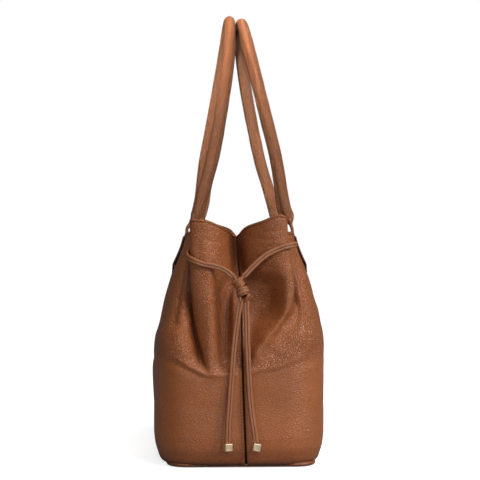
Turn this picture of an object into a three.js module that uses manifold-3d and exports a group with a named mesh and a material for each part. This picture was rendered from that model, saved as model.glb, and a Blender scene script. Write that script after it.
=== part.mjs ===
// A leather bucket tote with cinched ends. Millimetres, +Z up, the origin on the floor under its middle.
// X runs from the front face (-X) to the back face (+X), and Y along the bag: its right end is at -Y.
import * as THREE from "three";
import { mergeVertices } from "three/addons/utils/BufferGeometryUtils.js";
import Module from "manifold-3d";

const wasm = await Module();
wasm.setup();

// ---------- driving dimensions ----------
const BODY = { halfDepth: 82.5, halfLength: 150, corner: 32, baseRound: 20, bottom: 5.6 };
const RIM = { wall: 231, lobe: 245, seam: 227, halfDepth: 53 };
const TAPER = { start: 100, power: 2.2 }; // the walls lean in above this height
const CINCH = { start: 112, end: 212 }; // the ends fold in between these heights
const LOBE = { x: 50, v: 142, radius: 7.5, dip: 114, dipWidth: 27 };
const VALLEY = { x: 42, radius: 5.5 };
// Every layer of the wall has its rows of points at these heights, and is straight between them.
const STATIONS = [BODY.bottom, 17, 33, 74, 108, 140, 167, 194, 214, RIM.wall];
const GAP = 0.3;
// Layers of the wall, as distances in from the outer face.
const LAYER = {
  shell: [0, 2],
  backing: [2.3, 3.1],
  lining: [3.4, 4.2],
  facing: [4.5, 5.5],
};
const BASE = { halfDepth: 67.5, halfLength: 135, corner: 16, thickness: 2.4 };
const WELT = { radius: 2.2, height: 2.9 };
const BOARD = { bottom: 2.8, thickness: 2.4 };
const BASE_LINING = { bottom: 5.6, thickness: 0.8 };
const LINING = { bottom: 6.8, rows: 9 };
const FACING = { rows: 3, drop: 1 };
const HANDLE = {
  legY: 75, base: 250, rise: 208, radius: 6, wall: 1.5, coreRadius: 4.1,
  apexX: 6.5, spread: 39.4, power: 1.2, sway: 2.5, swayDrop: 4.7, twist: 0.058,
  flange: 2.8, flangeThick: 2.4, sides: 6, steps: 24,
};
const STRAP = { width: 15, thickness: 2.4, bottom: 197, pivotX: 55.4, pivotZ: 236 };
// The strap's tongue narrows from its foot up to where it starts to wrap the tube, and ends a little higher.
const TONGUE = { foot: 5, wrapShare: 0.6, tipShare: 0.4, wrapRise: 1, tipAngle: 0.07 };
const TAB = { width: 24, thickness: 2, bottom: 189, top: 226 };
const PATCH = { width: 26, bottom: 184, top: 228 };
const CORD = { radius: 2.2, sides: 8, steps: 10 };
const EYELET = { z: 214, v: 121.5, mouth: 39.7, flange: 4.1, barrel: 3.4, bore: 2.9, plate: 0.8, inner: 36 };
const KNOT = { x: -3.5, v: 150, z: 181.5, radius: 6.5 };
const KNOT_LOW = { x: 1.2, v: 151.6, radius: 7.4, topRadius: 6, bottom: 165.6, top: 177 };
const CUBE = { edge: 8.5, v: 156.1 };
const SLIP = { halfWidth: 66, bottom: 92, top: 186, stand: 9, seam: 2.6, cloth: 1 };
const ZIP = {
  z: 180, halfLength: 66, sliderY: 54,
  tape: 11, tapeThick: 0.9, chainWidth: 5.6, chainThick: 1.6, chainShort: 6.5,
};
const SLIDER = {
  width: 8, length: 9, thick: 1.8, arch: 1.9, bar: 0.9,
  across: 1, post: 2.2, reach: 3, sunk: 0.4,
};
const PULL = { halfWidth: 3.6, halfLength: 11, thick: 1, hole: 2.2, crossbar: 1.1 };
const POUCH = { halfWidth: 60, bottom: 96, top: 188 };
const SNAP = { z: 204, radius: 7, thickness: 2.2, pin: 2.6 };

// ---------- materials ----------
function finish(color, roughness, metalness = 0) {
  return new THREE.MeshStandardMaterial({ color, roughness, metalness });
}

const MATERIAL = {
  leather: finish(0x9a6038, 0.5),
  edge: finish(0x4a2a1a, 0.6),
  cord: finish(0xa86a40, 0.5),
  lining: finish(0xb9a68c, 0.9),
  board: finish(0x5b4a3a, 0.9),
  brass: finish(0xd9b87c, 0.3, 1),
  core: finish(0xd8d2c4, 0.9),
  tape: finish(0x7a5537, 0.85),
};

const bag = new THREE.Group();

function add(name, geometry, material, parent = bag) {
  const mesh = new THREE.Mesh(geometry, material);
  mesh.name = name;
  parent.add(mesh);
  return mesh;
}

// ---------- solids ----------
function solid(geometry) {
  const bare = geometry.clone();
  for (const key of Object.keys(bare.attributes)) if (key !== "position") bare.deleteAttribute(key);
  const merged = mergeVertices(bare, 1e-3);
  const vertProperties = new Float32Array(merged.attributes.position.array);
  const triVerts = new Uint32Array(merged.index.array);
  return new wasm.Manifold(new wasm.Mesh({ numProp: 3, vertProperties, triVerts }));
}

function geometryOf(manifold) {
  const mesh = manifold.getMesh();
  const geometry = new THREE.BufferGeometry();
  geometry.setAttribute("position", new THREE.BufferAttribute(new Float32Array(mesh.vertProperties), 3));
  geometry.setIndex([...mesh.triVerts]);
  geometry.computeVertexNormals();
  return geometry;
}

function cut(geometry, cutter) {
  return geometryOf(solid(geometry).subtract(solid(cutter)));
}

function join(first, ...others) {
  return geometryOf(others.reduce((whole, other) => whole.add(solid(other)), solid(first)));
}

// Turns a closed indexed mesh right side out.
function facingOut(positions, index) {
  const at = (i) => new THREE.Vector3().fromArray(positions, 3 * i);
  let volume = 0;
  for (let i = 0; i < index.length; i += 3) {
    volume += at(index[i]).dot(at(index[i + 1]).cross(at(index[i + 2])));
  }
  if (volume < 0) {
    for (let i = 0; i < index.length; i += 3) [index[i], index[i + 1]] = [index[i + 1], index[i]];
  }
  const geometry = new THREE.BufferGeometry();
  geometry.setAttribute("position", new THREE.Float32BufferAttribute(positions, 3));
  geometry.setIndex(index);
  geometry.computeVertexNormals();
  return geometry;
}

// A solid through closed rings of equal count; both end rings are convex.
function loft(rings) {
  const count = rings[0].length;
  const last = rings.length - 1;
  const positions = rings.flat().flatMap((p) => [p.x, p.y, p.z]);
  const index = [];
  for (let r = 0; r < last; r++) {
    for (let i = 0; i < count; i++) {
      const a = r * count + i;
      const b = r * count + ((i + 1) % count);
      index.push(a, b, b + count, a, b + count, a + count);
    }
  }
  for (let i = 1; i < count - 1; i++) {
    index.push(0, i + 1, i);
    index.push(last * count, last * count + i, last * count + i + 1);
  }
  return facingOut(positions, index);
}

// A sheet of leather or cloth: rows of outer and inner points with a closed border.
function sheet(outer, inner) {
  const columns = outer[0].length;
  const rows = outer.length;
  const positions = [...outer, ...inner].flat().flatMap((p) => [p.x, p.y, p.z]);
  const index = [];
  const quad = (a, b, c, d) => index.push(a, b, c, a, c, d);
  const out = (r, c) => r * columns + c;
  const inn = (r, c) => (rows + r) * columns + c;
  for (let r = 0; r < rows - 1; r++) {
    for (let c = 0; c < columns - 1; c++) {
      quad(out(r, c), out(r, c + 1), out(r + 1, c + 1), out(r + 1, c));
      quad(inn(r, c), inn(r + 1, c), inn(r + 1, c + 1), inn(r, c + 1));
    }
    quad(out(r, 0), out(r + 1, 0), inn(r + 1, 0), inn(r, 0));
    quad(out(r, columns - 1), inn(r, columns - 1), inn(r + 1, columns - 1), out(r + 1, columns - 1));
  }
  for (let c = 0; c < columns - 1; c++) {
    quad(out(0, c), inn(0, c), inn(0, c + 1), out(0, c + 1));
    quad(out(rows - 1, c), out(rows - 1, c + 1), inn(rows - 1, c + 1), inn(rows - 1, c));
  }
  return facingOut(positions, index);
}

// ---------- the outline of the body ----------
const mix = (a, b, t) => a + (b - a) * t;
const smooth = (t) => THREE.MathUtils.smoothstep(t, 0, 1);

function wallXAtStation(z) {
  const lean = Math.max(0, (z - TAPER.start) / (RIM.wall - TAPER.start));
  return BODY.halfDepth - (BODY.halfDepth - RIM.halfDepth) * lean ** TAPER.power;
}

// Half the depth of the body over its straight walls.
function wallX(z) {
  const k = Math.min(STATIONS.length - 2, Math.max(0, STATIONS.findIndex((s) => s > z) - 1));
  const above = STATIONS[STATIONS.length - 1] <= z;
  const low = above ? STATIONS[STATIONS.length - 2] : STATIONS[k];
  const high = above ? STATIONS[STATIONS.length - 1] : STATIONS[k + 1];
  return mix(wallXAtStation(low), wallXAtStation(high), (z - low) / (high - low));
}

// How far the lower edge has rounded in under the body at this height.
function baseInset(z) {
  const drop = Math.max(0, BODY.baseRound - z);
  return BODY.baseRound - Math.sqrt(BODY.baseRound ** 2 - drop ** 2);
}

const FRONT_STEPS = [0, 0.2, 0.4, 0.62, 0.82];
const WALL_STEPS = [75, 36, 0];
const TURN_COUNT = 12;

function arc(cx, cv, radius, from, to, count) {
  return Array.from({ length: count }, (_, i) => {
    const angle = THREE.MathUtils.degToRad(mix(from, to, i / (count - 1)));
    return [cx + radius * Math.cos(angle), cv + radius * Math.sin(angle)];
  });
}

// One quarter of the cinched outline as (x, v), from the centre seam round to the middle of the wall.
function cinchedQuarter(x) {
  const front = FRONT_STEPS.map((t) => {
    const across = t * (LOBE.x - LOBE.radius);
    const bulge = (1 - Math.cos(Math.PI * Math.min(1, across / LOBE.dipWidth))) / 2;
    return [across, mix(LOBE.dip, LOBE.v, bulge)];
  });
  const lobe = arc(LOBE.x - LOBE.radius, LOBE.v - LOBE.radius, LOBE.radius, 90, -80, 5);
  const valleyV = LOBE.v - 2 * LOBE.radius - VALLEY.radius;
  const valley = arc(VALLEY.x, valleyV, VALLEY.radius, 125, 235, 3);
  const ridgeV = valleyV - VALLEY.radius - LOBE.radius;
  const ridge = arc(x - LOBE.radius, ridgeV, LOBE.radius, 90, 0, 4);
  return [...front, ...lobe, ...valley, ...ridge, ...WALL_STEPS.map((v) => [x, v])];
}

// The same quarter where the body is open and round-cornered.
function openQuarter(x, inset) {
  const radius = BODY.corner - 0.6 * inset;
  const length = BODY.halfLength - inset;
  const front = FRONT_STEPS.map((t) => [t * (x - radius), length]);
  const corner = arc(x - radius, length - radius, radius, 90, 0, TURN_COUNT);
  return [...front, ...corner, ...WALL_STEPS.map((v) => [x, v])];
}

function cinchAt(z) {
  return smooth((z - CINCH.start) / (CINCH.end - CINCH.start));
}

function quarterPoint(z, i) {
  const inset = baseInset(z);
  const x = wallX(z) - inset;
  const folded = cinchedQuarter(x)[i];
  const open = openQuarter(x, inset)[i];
  const t = cinchAt(z);
  return [mix(open[0], folded[0], t), mix(open[1], folded[1], t)];
}

const QUARTER = FRONT_STEPS.length + TURN_COUNT + WALL_STEPS.length;
const HALF = 2 * QUARTER - 1;

// A point of the half outline, from the right end's seam round a wall to the left end's seam.
function halfPoint(z, i) {
  const far = i >= QUARTER;
  const [x, v] = quarterPoint(z, far ? HALF - 1 - i : i);
  return [x, far ? v : -v];
}

// The same point moved in from the outer face, along the outline's own normal.
function insetPoint(z, i, depth) {
  const [x, y] = halfPoint(z, i);
  if (i === 0) return [x, y + depth];
  if (i === HALF - 1) return [x, y - depth];
  const [ax, ay] = halfPoint(z, i - 1);
  const [bx, by] = halfPoint(z, i + 1);
  const length = Math.hypot(bx - ax, by - ay);
  return [x - (depth * (by - ay)) / length, y + (depth * (bx - ax)) / length];
}

function rimHeight(i) {
  const k = i >= QUARTER ? HALF - 1 - i : i;
  const front = FRONT_STEPS.length;
  if (k < front) return mix(RIM.seam, RIM.lobe, smooth(FRONT_STEPS[k] / 0.75));
  return mix(RIM.lobe, RIM.wall, smooth((k - front - 3) / 6));
}

// The height of one station's row at one index: it follows the rim's rise over the folds.
function rowHeight(station, i) {
  return station + (rimHeight(i) - RIM.wall) * (station / RIM.wall) ** 3;
}

// One layer of the wall on one side, with a row of points at each of these stations.
function layer(side, depths, stations, { from = 0, to = HALF - 1, gap = GAP } = {}) {
  const indices = Array.from({ length: to - from + 1 }, (_, i) => from + i);
  const place = (station, i, depth) => {
    const z = rowHeight(station, i);
    const [x, y] = insetPoint(z, i, depth);
    return new THREE.Vector3(side * Math.max(x, gap), y, z);
  };
  const grid = (depth) => stations.map((station) => indices.map((i) => place(station, i, depth)));
  return sheet(grid(depths[0]), grid(depths[1]));
}

function shell(side) {
  const holes = [-1, 1].map((end) => eyeletHole(side, end));
  return holes.reduce((whole, hole) => cut(whole, hole), layer(side, LAYER.shell, STATIONS));
}

function lining(side) {
  return layer(side, LAYER.lining, [LINING.bottom, ...STATIONS.slice(1, LINING.rows)]);
}

function facing(side) {
  const rows = STATIONS.slice(-FACING.rows);
  rows[rows.length - 1] -= FACING.drop;
  return layer(side, LAYER.facing, rows);
}

// A patch that follows one wall between two heights, outside it where the depths are negative.
function wallPatch(side, y, width, bottom, top, depths) {
  const heights = [bottom, ...STATIONS.filter((z) => z > bottom + 1 && z < top - 1), top];
  const edge = [y - width / 2, y + width / 2];
  const grid = (depth) => heights.map((z) => (
    edge.map((across) => new THREE.Vector3(side * (wallX(z) - depth), across, z))
  ));
  return sheet(grid(depths[0]), grid(depths[1]));
}

// A strip that backs the centre seam at one end, both sides of the seam.
function seamTape(end) {
  const stations = STATIONS.slice(1, -1);
  const range = end < 0 ? { from: 0, to: 1, gap: 0 } : { from: HALF - 2, to: HALF - 1, gap: 0 };
  return join(layer(-1, LAYER.backing, stations, range), layer(1, LAYER.backing, stations, range));
}

// ---------- the base ----------
function roundedRectangle(halfX, halfY, radius) {
  const shape = new THREE.Shape();
  shape.moveTo(halfX, -halfY + radius);
  shape.lineTo(halfX, halfY - radius);
  shape.absarc(halfX - radius, halfY - radius, radius, 0, Math.PI / 2, false);
  shape.lineTo(-halfX + radius, halfY);
  shape.absarc(-halfX + radius, halfY - radius, radius, Math.PI / 2, Math.PI, false);
  shape.lineTo(-halfX, -halfY + radius);
  shape.absarc(-halfX + radius, -halfY + radius, radius, Math.PI, 1.5 * Math.PI, false);
  shape.lineTo(halfX - radius, -halfY);
  shape.absarc(halfX - radius, -halfY + radius, radius, 1.5 * Math.PI, 2 * Math.PI, false);
  return shape;
}

function plate(shrink, bottom, thickness) {
  const shape = roundedRectangle(BASE.halfDepth - shrink, BASE.halfLength - shrink, BASE.corner - shrink);
  const options = { depth: thickness, bevelEnabled: false, curveSegments: 5 };
  const geometry = new THREE.ExtrudeGeometry(shape, options);
  return geometry.translate(0, 0, bottom);
}

// The piping between base and walls, round the whole edge of the base.
function welt() {
  const grow = WELT.radius + GAP;
  const shape = roundedRectangle(BASE.halfDepth + grow, BASE.halfLength + grow, BASE.corner + grow);
  const path = shape.getPoints(5).filter((p, i, all) => i === 0 || p.distanceTo(all[i - 1]) > 0.1);
  if (path[0].distanceTo(path[path.length - 1]) < 0.1) path.pop();
  const sides = 6;
  const rings = path.map((p, i) => {
    const before = path[(i + path.length - 1) % path.length];
    const after = path[(i + 1) % path.length];
    const outward = new THREE.Vector2(after.y - before.y, before.x - after.x).normalize();
    return Array.from({ length: sides }, (_, k) => {
      const angle = ((k + 0.5) / sides) * 2 * Math.PI;
      const reach = WELT.radius * Math.cos(angle);
      return [p.x + outward.x * reach, p.y + outward.y * reach, WELT.height + WELT.radius * Math.sin(angle)];
    });
  });
  const positions = rings.flat(2);
  const index = [];
  for (let r = 0; r < rings.length; r++) {
    const next = (r + 1) % rings.length;
    for (let k = 0; k < sides; k++) {
      const a = r * sides + k;
      const b = r * sides + ((k + 1) % sides);
      const c = next * sides + ((k + 1) % sides);
      const d = next * sides + k;
      index.push(a, b, c, a, c, d);
    }
  }
  return facingOut(positions, index);
}

// ---------- handles ----------
// The middle of a handle's tube at an angle from its right leg (0) over the top to its left leg (pi).
function handlePoint(side, angle) {
  const height = Math.sin(angle);
  const y = -HANDLE.legY * Math.cos(angle);
  const lean = HANDLE.apexX + HANDLE.spread * (1 - height) ** HANDLE.power;
  const turn = HANDLE.twist * smooth(3 * height);
  const x = side * lean + HANDLE.sway - HANDLE.swayDrop * height - turn * y;
  return new THREE.Vector3(x, y, HANDLE.base + HANDLE.rise * height);
}

class HandleCurve extends THREE.Curve {
  constructor(side) {
    super();
    this.side = side;
  }

  getPoint(t, target = new THREE.Vector3()) {
    return target.copy(handlePoint(this.side, Math.PI * t));
  }
}

function circleShape(radius, hole = 0) {
  const shape = new THREE.Shape().absarc(0, 0, radius, 0, 2 * Math.PI, false);
  if (hole) shape.holes.push(new THREE.Path().absarc(0, 0, hole, 0, 2 * Math.PI, true));
  return shape;
}

function tube(curve, shape, steps, segments) {
  return new THREE.ExtrudeGeometry(shape, { extrudePath: curve, steps, curveSegments: segments });
}

// A rectangular section at a point: across by width, along the given normal by thickness.
function bar(point, across, normal, width, thickness) {
  const corner = (a, b) => point.clone()
    .addScaledVector(across, (a * width) / 2)
    .addScaledVector(normal, (b * thickness) / 2);
  return [corner(-1, -1), corner(1, -1), corner(1, 1), corner(-1, 1)];
}

// The stitched seam allowance that stands along the inner side of a handle's tube.
function handleFlange(side) {
  const rings = [];
  for (let i = 0; i <= HANDLE.steps; i++) {
    const angle = Math.PI * mix(0.02, 0.98, i / HANDLE.steps);
    const point = handlePoint(side, angle);
    const tangent = handlePoint(side, angle + 0.01).sub(handlePoint(side, angle - 0.01)).normalize();
    const dip = (Math.PI / 3) * Math.sin(angle) ** 2;
    const inward = new THREE.Vector3(-side * Math.cos(dip), 0, -Math.sin(dip));
    inward.addScaledVector(tangent, -inward.dot(tangent)).normalize();
    const across = tangent.clone().cross(inward);
    const reach = HANDLE.radius - HANDLE.wall / 2 + HANDLE.flange / 2;
    const middle = point.clone().addScaledVector(inward, reach);
    rings.push(bar(middle, inward, across, HANDLE.flange + HANDLE.wall / 2, HANDLE.flangeThick));
  }
  return loft(rings);
}

// The flat tongue between the tube and the bend over the rim, on the outer side of one leg.
function handleTongue(side, end) {
  const angle = end < 0 ? 0 : Math.PI;
  const start = handlePoint(side, angle);
  const along = end < 0 ? 1 : -1;
  const higher = handlePoint(side, angle + along * TONGUE.tipAngle);
  const outer = HANDLE.radius - HANDLE.wall / 2;
  const across = new THREE.Vector3(0, 1, 0);
  const out = new THREE.Vector3(side, 0, 0);
  const foot = (rise) => new THREE.Vector3(side * STRAP.pivotX, end * HANDLE.legY, STRAP.pivotZ + rise);
  const wrap = start.clone().addScaledVector(out, outer).setZ(HANDLE.base + TONGUE.wrapRise);
  const stations = [
    [foot(GAP), STRAP.width, STRAP.thickness],
    [foot(TONGUE.foot), STRAP.width, STRAP.thickness],
    [wrap, STRAP.width * TONGUE.wrapShare, HANDLE.wall],
    [higher.clone().addScaledVector(out, outer), STRAP.width * TONGUE.tipShare, HANDLE.wall],
  ];
  return loft(stations.map(([point, width, thickness]) => bar(point, across, out, width, thickness)));
}

function handleCover(side) {
  const curve = new HandleCurve(side);
  const inner = HANDLE.radius - HANDLE.wall;
  const wrap = tube(curve, circleShape(HANDLE.radius, inner), HANDLE.steps, HANDLE.sides);
  const core = tube(curve, circleShape(inner), HANDLE.steps, HANDLE.sides);
  const trims = [handleFlange(side), handleTongue(side, -1), handleTongue(side, 1)];
  const outside = trims.map((trim) => cut(trim, core));
  return join(wrap, ...outside);
}

function handleCore(side) {
  return tube(new HandleCurve(side), circleShape(HANDLE.coreRadius), HANDLE.steps, 6);
}

// ---------- drawcords: one at each end, made for the right end (-Y) ----------
function eyeletHole(side, end) {
  const cutter = new THREE.CylinderGeometry(EYELET.barrel + GAP, EYELET.barrel + GAP, 14, 12);
  cutter.rotateZ(Math.PI / 2);
  return cutter.translate(side * (VALLEY.x - VALLEY.radius), end * EYELET.v, EYELET.z);
}

function eyelet(side) {
  const profile = [
    [EYELET.bore, EYELET.inner], [EYELET.barrel, EYELET.inner], [EYELET.barrel, EYELET.mouth],
    [EYELET.flange, EYELET.mouth], [EYELET.flange, EYELET.mouth + EYELET.plate],
    [EYELET.bore, EYELET.mouth + EYELET.plate], [EYELET.bore, EYELET.inner],
  ].map(([r, h]) => new THREE.Vector2(r, h));
  const ring = new THREE.LatheGeometry(profile, 12);
  ring.rotateZ(-side * Math.PI / 2);
  return ring.translate(0, -EYELET.v, EYELET.z);
}

// Points (x, distance from the middle along Y, height) of each stretch, seen on the right end.
const CORD_ROUTES = {
  front_span: [
    [-36.4, 121.5, 214], [-41.4, 121.5, 213.9], [-46, 123, 213], [-50, 126.3, 211], [-53.2, 133.4, 208],
    [-51.3, 141.2, 204.5], [-45.2, 145.4, 201.5], [-37.5, 146, 198.6], [-26, 146.4, 196.4],
    [-16, 147.6, 192.4], [-8.35, 149.2, 186.2],
  ],
  back_span: [
    [36.4, 121.5, 214], [41.4, 121.5, 214.1], [46, 123, 215.2], [50, 126.3, 217], [53.2, 133.4, 218],
    [51.3, 141.2, 217.6], [45.2, 145.4, 216.4], [37.5, 146, 214], [25.5, 146.8, 208.6],
    [13, 148, 198.6], [1.25, 149.8, 186.4],
  ],
  front_tail: [
    [-1.7, 152, 163], [-3, 152.2, 155], [-6, 152.8, 135], [-9, 153.6, 106], [-11.8, 154.8, 68],
    [-13.6, 155.8, 40], [-14, 156.1, 26.6],
  ],
  back_tail: [
    [4.1, 152, 163], [4.3, 152.2, 155], [5, 153, 126], [6.5, 154, 88], [9.4, 155.2, 53],
    [12, 156, 36], [13.1, 156.1, 27.2],
  ],
};
const CUBES = {
  front_cube: { x: -14, z: 22, turn: 0.6, tilt: 0 },
  back_cube: { x: 14, z: 21.9, turn: 0, tilt: 0.2 },
};

// A stretch of cord. A tail turns about its own top point, where it is rounded so that it clears the knot.
function cordStretch(name) {
  const points = CORD_ROUTES[name].map(([x, v, z]) => new THREE.Vector3(x, -v, z));
  const run = tube(new THREE.CatmullRomCurve3(points), circleShape(CORD.radius), CORD.steps, CORD.sides / 2);
  if (name.endsWith("span")) return run;
  const top = new THREE.SphereGeometry(CORD.radius, CORD.sides, 6).translate(...points[0].toArray());
  return join(run, top);
}

function knot() {
  const upper = new THREE.SphereGeometry(KNOT.radius, 10, 7).translate(KNOT.x, -KNOT.v, KNOT.z);
  const { x, v, radius, topRadius, bottom, top } = KNOT_LOW;
  const lower = new THREE.CylinderGeometry(topRadius, radius, top - bottom, 10).rotateX(Math.PI / 2);
  return join(upper, lower.translate(x, -v, (bottom + top) / 2));
}

function addDrawcord(end, sides, turn) {
  const group = new THREE.Group();
  group.rotation.z = turn;
  bag.add(group);
  for (const name of Object.keys(CORD_ROUTES)) {
    add(`${end}_${rename(name, sides)}`, cordStretch(name), MATERIAL.cord, group);
  }
  add(`${end}_knot`, knot(), MATERIAL.cord, group);
  for (const [name, cube] of Object.entries(CUBES)) {
    const box = new THREE.BoxGeometry(CUBE.edge, CUBE.edge, CUBE.edge);
    const mesh = add(`${end}_${rename(name, sides)}`, box, MATERIAL.brass, group);
    mesh.position.set(cube.x, -CUBE.v, cube.z);
    mesh.rotation.set(0, cube.tilt, cube.turn);
  }
  for (const [name, side] of [["front", -1], ["back", 1]]) {
    add(`${end}_${rename(name, sides)}_eyelet`, eyelet(side), MATERIAL.brass, group);
  }
}

// The left end is the right end turned half round, so its front piece is the other one.
function rename(name, sides) {
  return name.replace(/front|back/, (word) => sides[word]);
}

// ---------- fittings inside ----------
// An open-topped patch pocket on the front lining: a panel that stands off it, with turned-in edges.
function slipPocket() {
  const { halfWidth, bottom, top, stand, seam, cloth } = SLIP;
  const inside = LAYER.lining[1] + GAP;
  const turned = [inside, inside + stand + cloth / 2];
  const panel = wallPatch(-1, 0, 2 * halfWidth, bottom, top, [inside + stand, inside + stand + cloth]);
  const edgeOf = (y) => wallPatch(-1, y, seam, bottom, top, turned);
  const foot = wallPatch(-1, 0, 2 * halfWidth, bottom, bottom + seam, turned);
  const offset = halfWidth - seam / 2;
  return join(panel, edgeOf(-offset), edgeOf(offset), foot);
}

const ZIP_DEPTH = LAYER.lining[1] + GAP;

function zipTape() {
  const { z, halfLength, tape, tapeThick, chainShort } = ZIP;
  const band = wallPatch(1, 0, 2 * halfLength, z - tape, z + tape, [ZIP_DEPTH, ZIP_DEPTH + tapeThick]);
  const half = ZIP.chainWidth / 2 + GAP;
  const slotLength = 2 * (halfLength - chainShort + GAP);
  const slot = wallPatch(1, 0, slotLength, z - half, z + half, [ZIP_DEPTH - 1, ZIP_DEPTH + tapeThick + 1]);
  return cut(band, slot);
}

function zipChain() {
  const half = ZIP.chainWidth / 2;
  const length = 2 * (ZIP.halfLength - ZIP.chainShort);
  return wallPatch(1, 0, length, ZIP.z - half, ZIP.z + half, [ZIP_DEPTH, ZIP_DEPTH + ZIP.chainThick]);
}

// A frame on the inside of a wall: its x points into the bag, and its z up the wall's slope.
function wallFrame(side, y, z, depth) {
  const inwards = new THREE.Vector3(-side, 0, wallX(z + 1) - wallX(z)).normalize();
  const up = new THREE.Vector3(side * inwards.z, 0, -side * inwards.x);
  const seat = new THREE.Vector3(side * wallX(z), y, z).addScaledVector(inwards, depth);
  return new THREE.Matrix4().makeBasis(inwards, up.clone().cross(inwards), up).setPosition(seat);
}

const SLIDER_DEPTH = ZIP_DEPTH + ZIP.chainThick + GAP;

function zipSlider() {
  const { thick, arch, bar, across, post, reach, sunk } = SLIDER;
  const height = arch + bar + sunk;
  const body = new THREE.BoxGeometry(thick, SLIDER.length, SLIDER.width).translate(thick / 2, 0, 0);
  const beam = new THREE.BoxGeometry(bar, across, 2 * reach).translate(thick + arch + bar / 2, 0, 0);
  const posts = [-1, 1].map((end) => (
    new THREE.BoxGeometry(height, across, reach - post)
      .translate(thick + arch + bar - height / 2, 0, (end * (reach + post)) / 2)
  ));
  return join(body, beam, ...posts).applyMatrix4(wallFrame(1, -ZIP.sliderY, ZIP.z, SLIDER_DEPTH));
}

// The pull hangs straight down from its own top bar, which lies in the slider's arch.
function zipPull() {
  const shape = new THREE.Shape().absellipse(0, 0, PULL.halfWidth, PULL.halfLength, 0, 2 * Math.PI, false);
  const holeY = PULL.halfLength - PULL.crossbar - PULL.hole;
  shape.holes.push(new THREE.Path().absarc(0, holeY, PULL.hole, 0, 2 * Math.PI, true));
  const options = { depth: PULL.thick, bevelEnabled: false, curveSegments: 8 };
  const pull = new THREE.ExtrudeGeometry(shape, options);
  pull.translate(0, PULL.crossbar / 2 - PULL.halfLength, -PULL.thick / 2);
  pull.rotateX(Math.PI / 2).rotateZ(Math.PI / 2);
  const frame = wallFrame(1, -ZIP.sliderY, ZIP.z, SLIDER_DEPTH + SLIDER.thick + SLIDER.arch / 2);
  return pull.translate(...new THREE.Vector3().setFromMatrixPosition(frame).toArray());
}

// The two halves of the magnetic closure, flat on the facings at the middle of the rim.
function snapHalf(side, stud) {
  const round = (radius, height, sides) => (
    new THREE.CylinderGeometry(radius, radius, height, sides).rotateZ(Math.PI / 2)
  );
  const disc = round(SNAP.radius, SNAP.thickness, 18).translate(SNAP.thickness / 2, 0, 0);
  const middle = round(SNAP.pin, 2 * SNAP.pin, 12).translate(SNAP.thickness, 0, 0);
  return (stud ? join : cut)(disc, middle).applyMatrix4(wallFrame(side, 0, SNAP.z, LAYER.facing[1] + GAP));
}

// ---------- the whole bag ----------
// The strap end of a handle's leg on one wall, the tab over it and the patch that backs it inside.
function addStrapSeat(name, side, y) {
  const strap = [-GAP, -GAP - STRAP.thickness];
  const over = strap[1] - GAP;
  const end = wallPatch(side, y, STRAP.width, STRAP.bottom, STRAP.pivotZ, strap);
  const tab = wallPatch(side, y, TAB.width, TAB.bottom, TAB.top, [over, over - TAB.thickness]);
  add(`${name}_strap_end`, end, MATERIAL.edge);
  add(`${name}_tab`, tab, MATERIAL.leather);
  const patch = wallPatch(side, y, PATCH.width, PATCH.bottom, PATCH.top, LAYER.backing);
  add(`${name}_patch`, patch, MATERIAL.board);
}

for (const [name, side] of [["front", -1], ["back", 1]]) {
  add(`${name}_shell`, shell(side), MATERIAL.leather);
  add(`${name}_lining`, lining(side), MATERIAL.lining);
  add(`${name}_facing`, facing(side), MATERIAL.leather);
  add(`${name}_handle_cover`, handleCover(side), MATERIAL.leather);
  add(`${name}_handle_core`, handleCore(side), MATERIAL.core);
  addStrapSeat(`right_${name}`, side, -HANDLE.legY);
  addStrapSeat(`left_${name}`, side, HANDLE.legY);
}
add("right_seam_tape", seamTape(-1), MATERIAL.tape);
add("left_seam_tape", seamTape(1), MATERIAL.tape);
add("base_panel", plate(0, 0, BASE.thickness), MATERIAL.leather);
add("base_welt", welt(), MATERIAL.edge);
add("base_board", plate(2, BOARD.bottom, BOARD.thickness), MATERIAL.board);
add("base_lining", plate(3, BASE_LINING.bottom, BASE_LINING.thickness), MATERIAL.lining);
add("slip_pocket", slipPocket(), MATERIAL.lining);
const zipPouch = wallPatch(1, 0, 2 * POUCH.halfWidth, POUCH.bottom, POUCH.top, LAYER.backing);
add("zip_pouch", zipPouch, MATERIAL.lining);
add("zip_tape", zipTape(), MATERIAL.tape);
add("zip_chain", zipChain(), MATERIAL.brass);
add("zip_slider", zipSlider(), MATERIAL.brass);
add("zip_pull", zipPull(), MATERIAL.brass);
add("snap_socket", snapHalf(-1, false), MATERIAL.brass);
add("snap_stud", snapHalf(1, true), MATERIAL.brass);
addDrawcord("right", { front: "front", back: "back" }, 0);
addDrawcord("left", { front: "back", back: "front" }, Math.PI);

export default bag;
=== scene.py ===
"""The looks of a leather bucket tote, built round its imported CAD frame.

Shapes are worked out in millimetres in the frame's own axes and turned into metres when a mesh is made.
X runs from the front face (-X) to the back face (+X). The bag's right end is at -Y and its left end at +Y,
and the left end is the right end turned half round.
"""
import math

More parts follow.
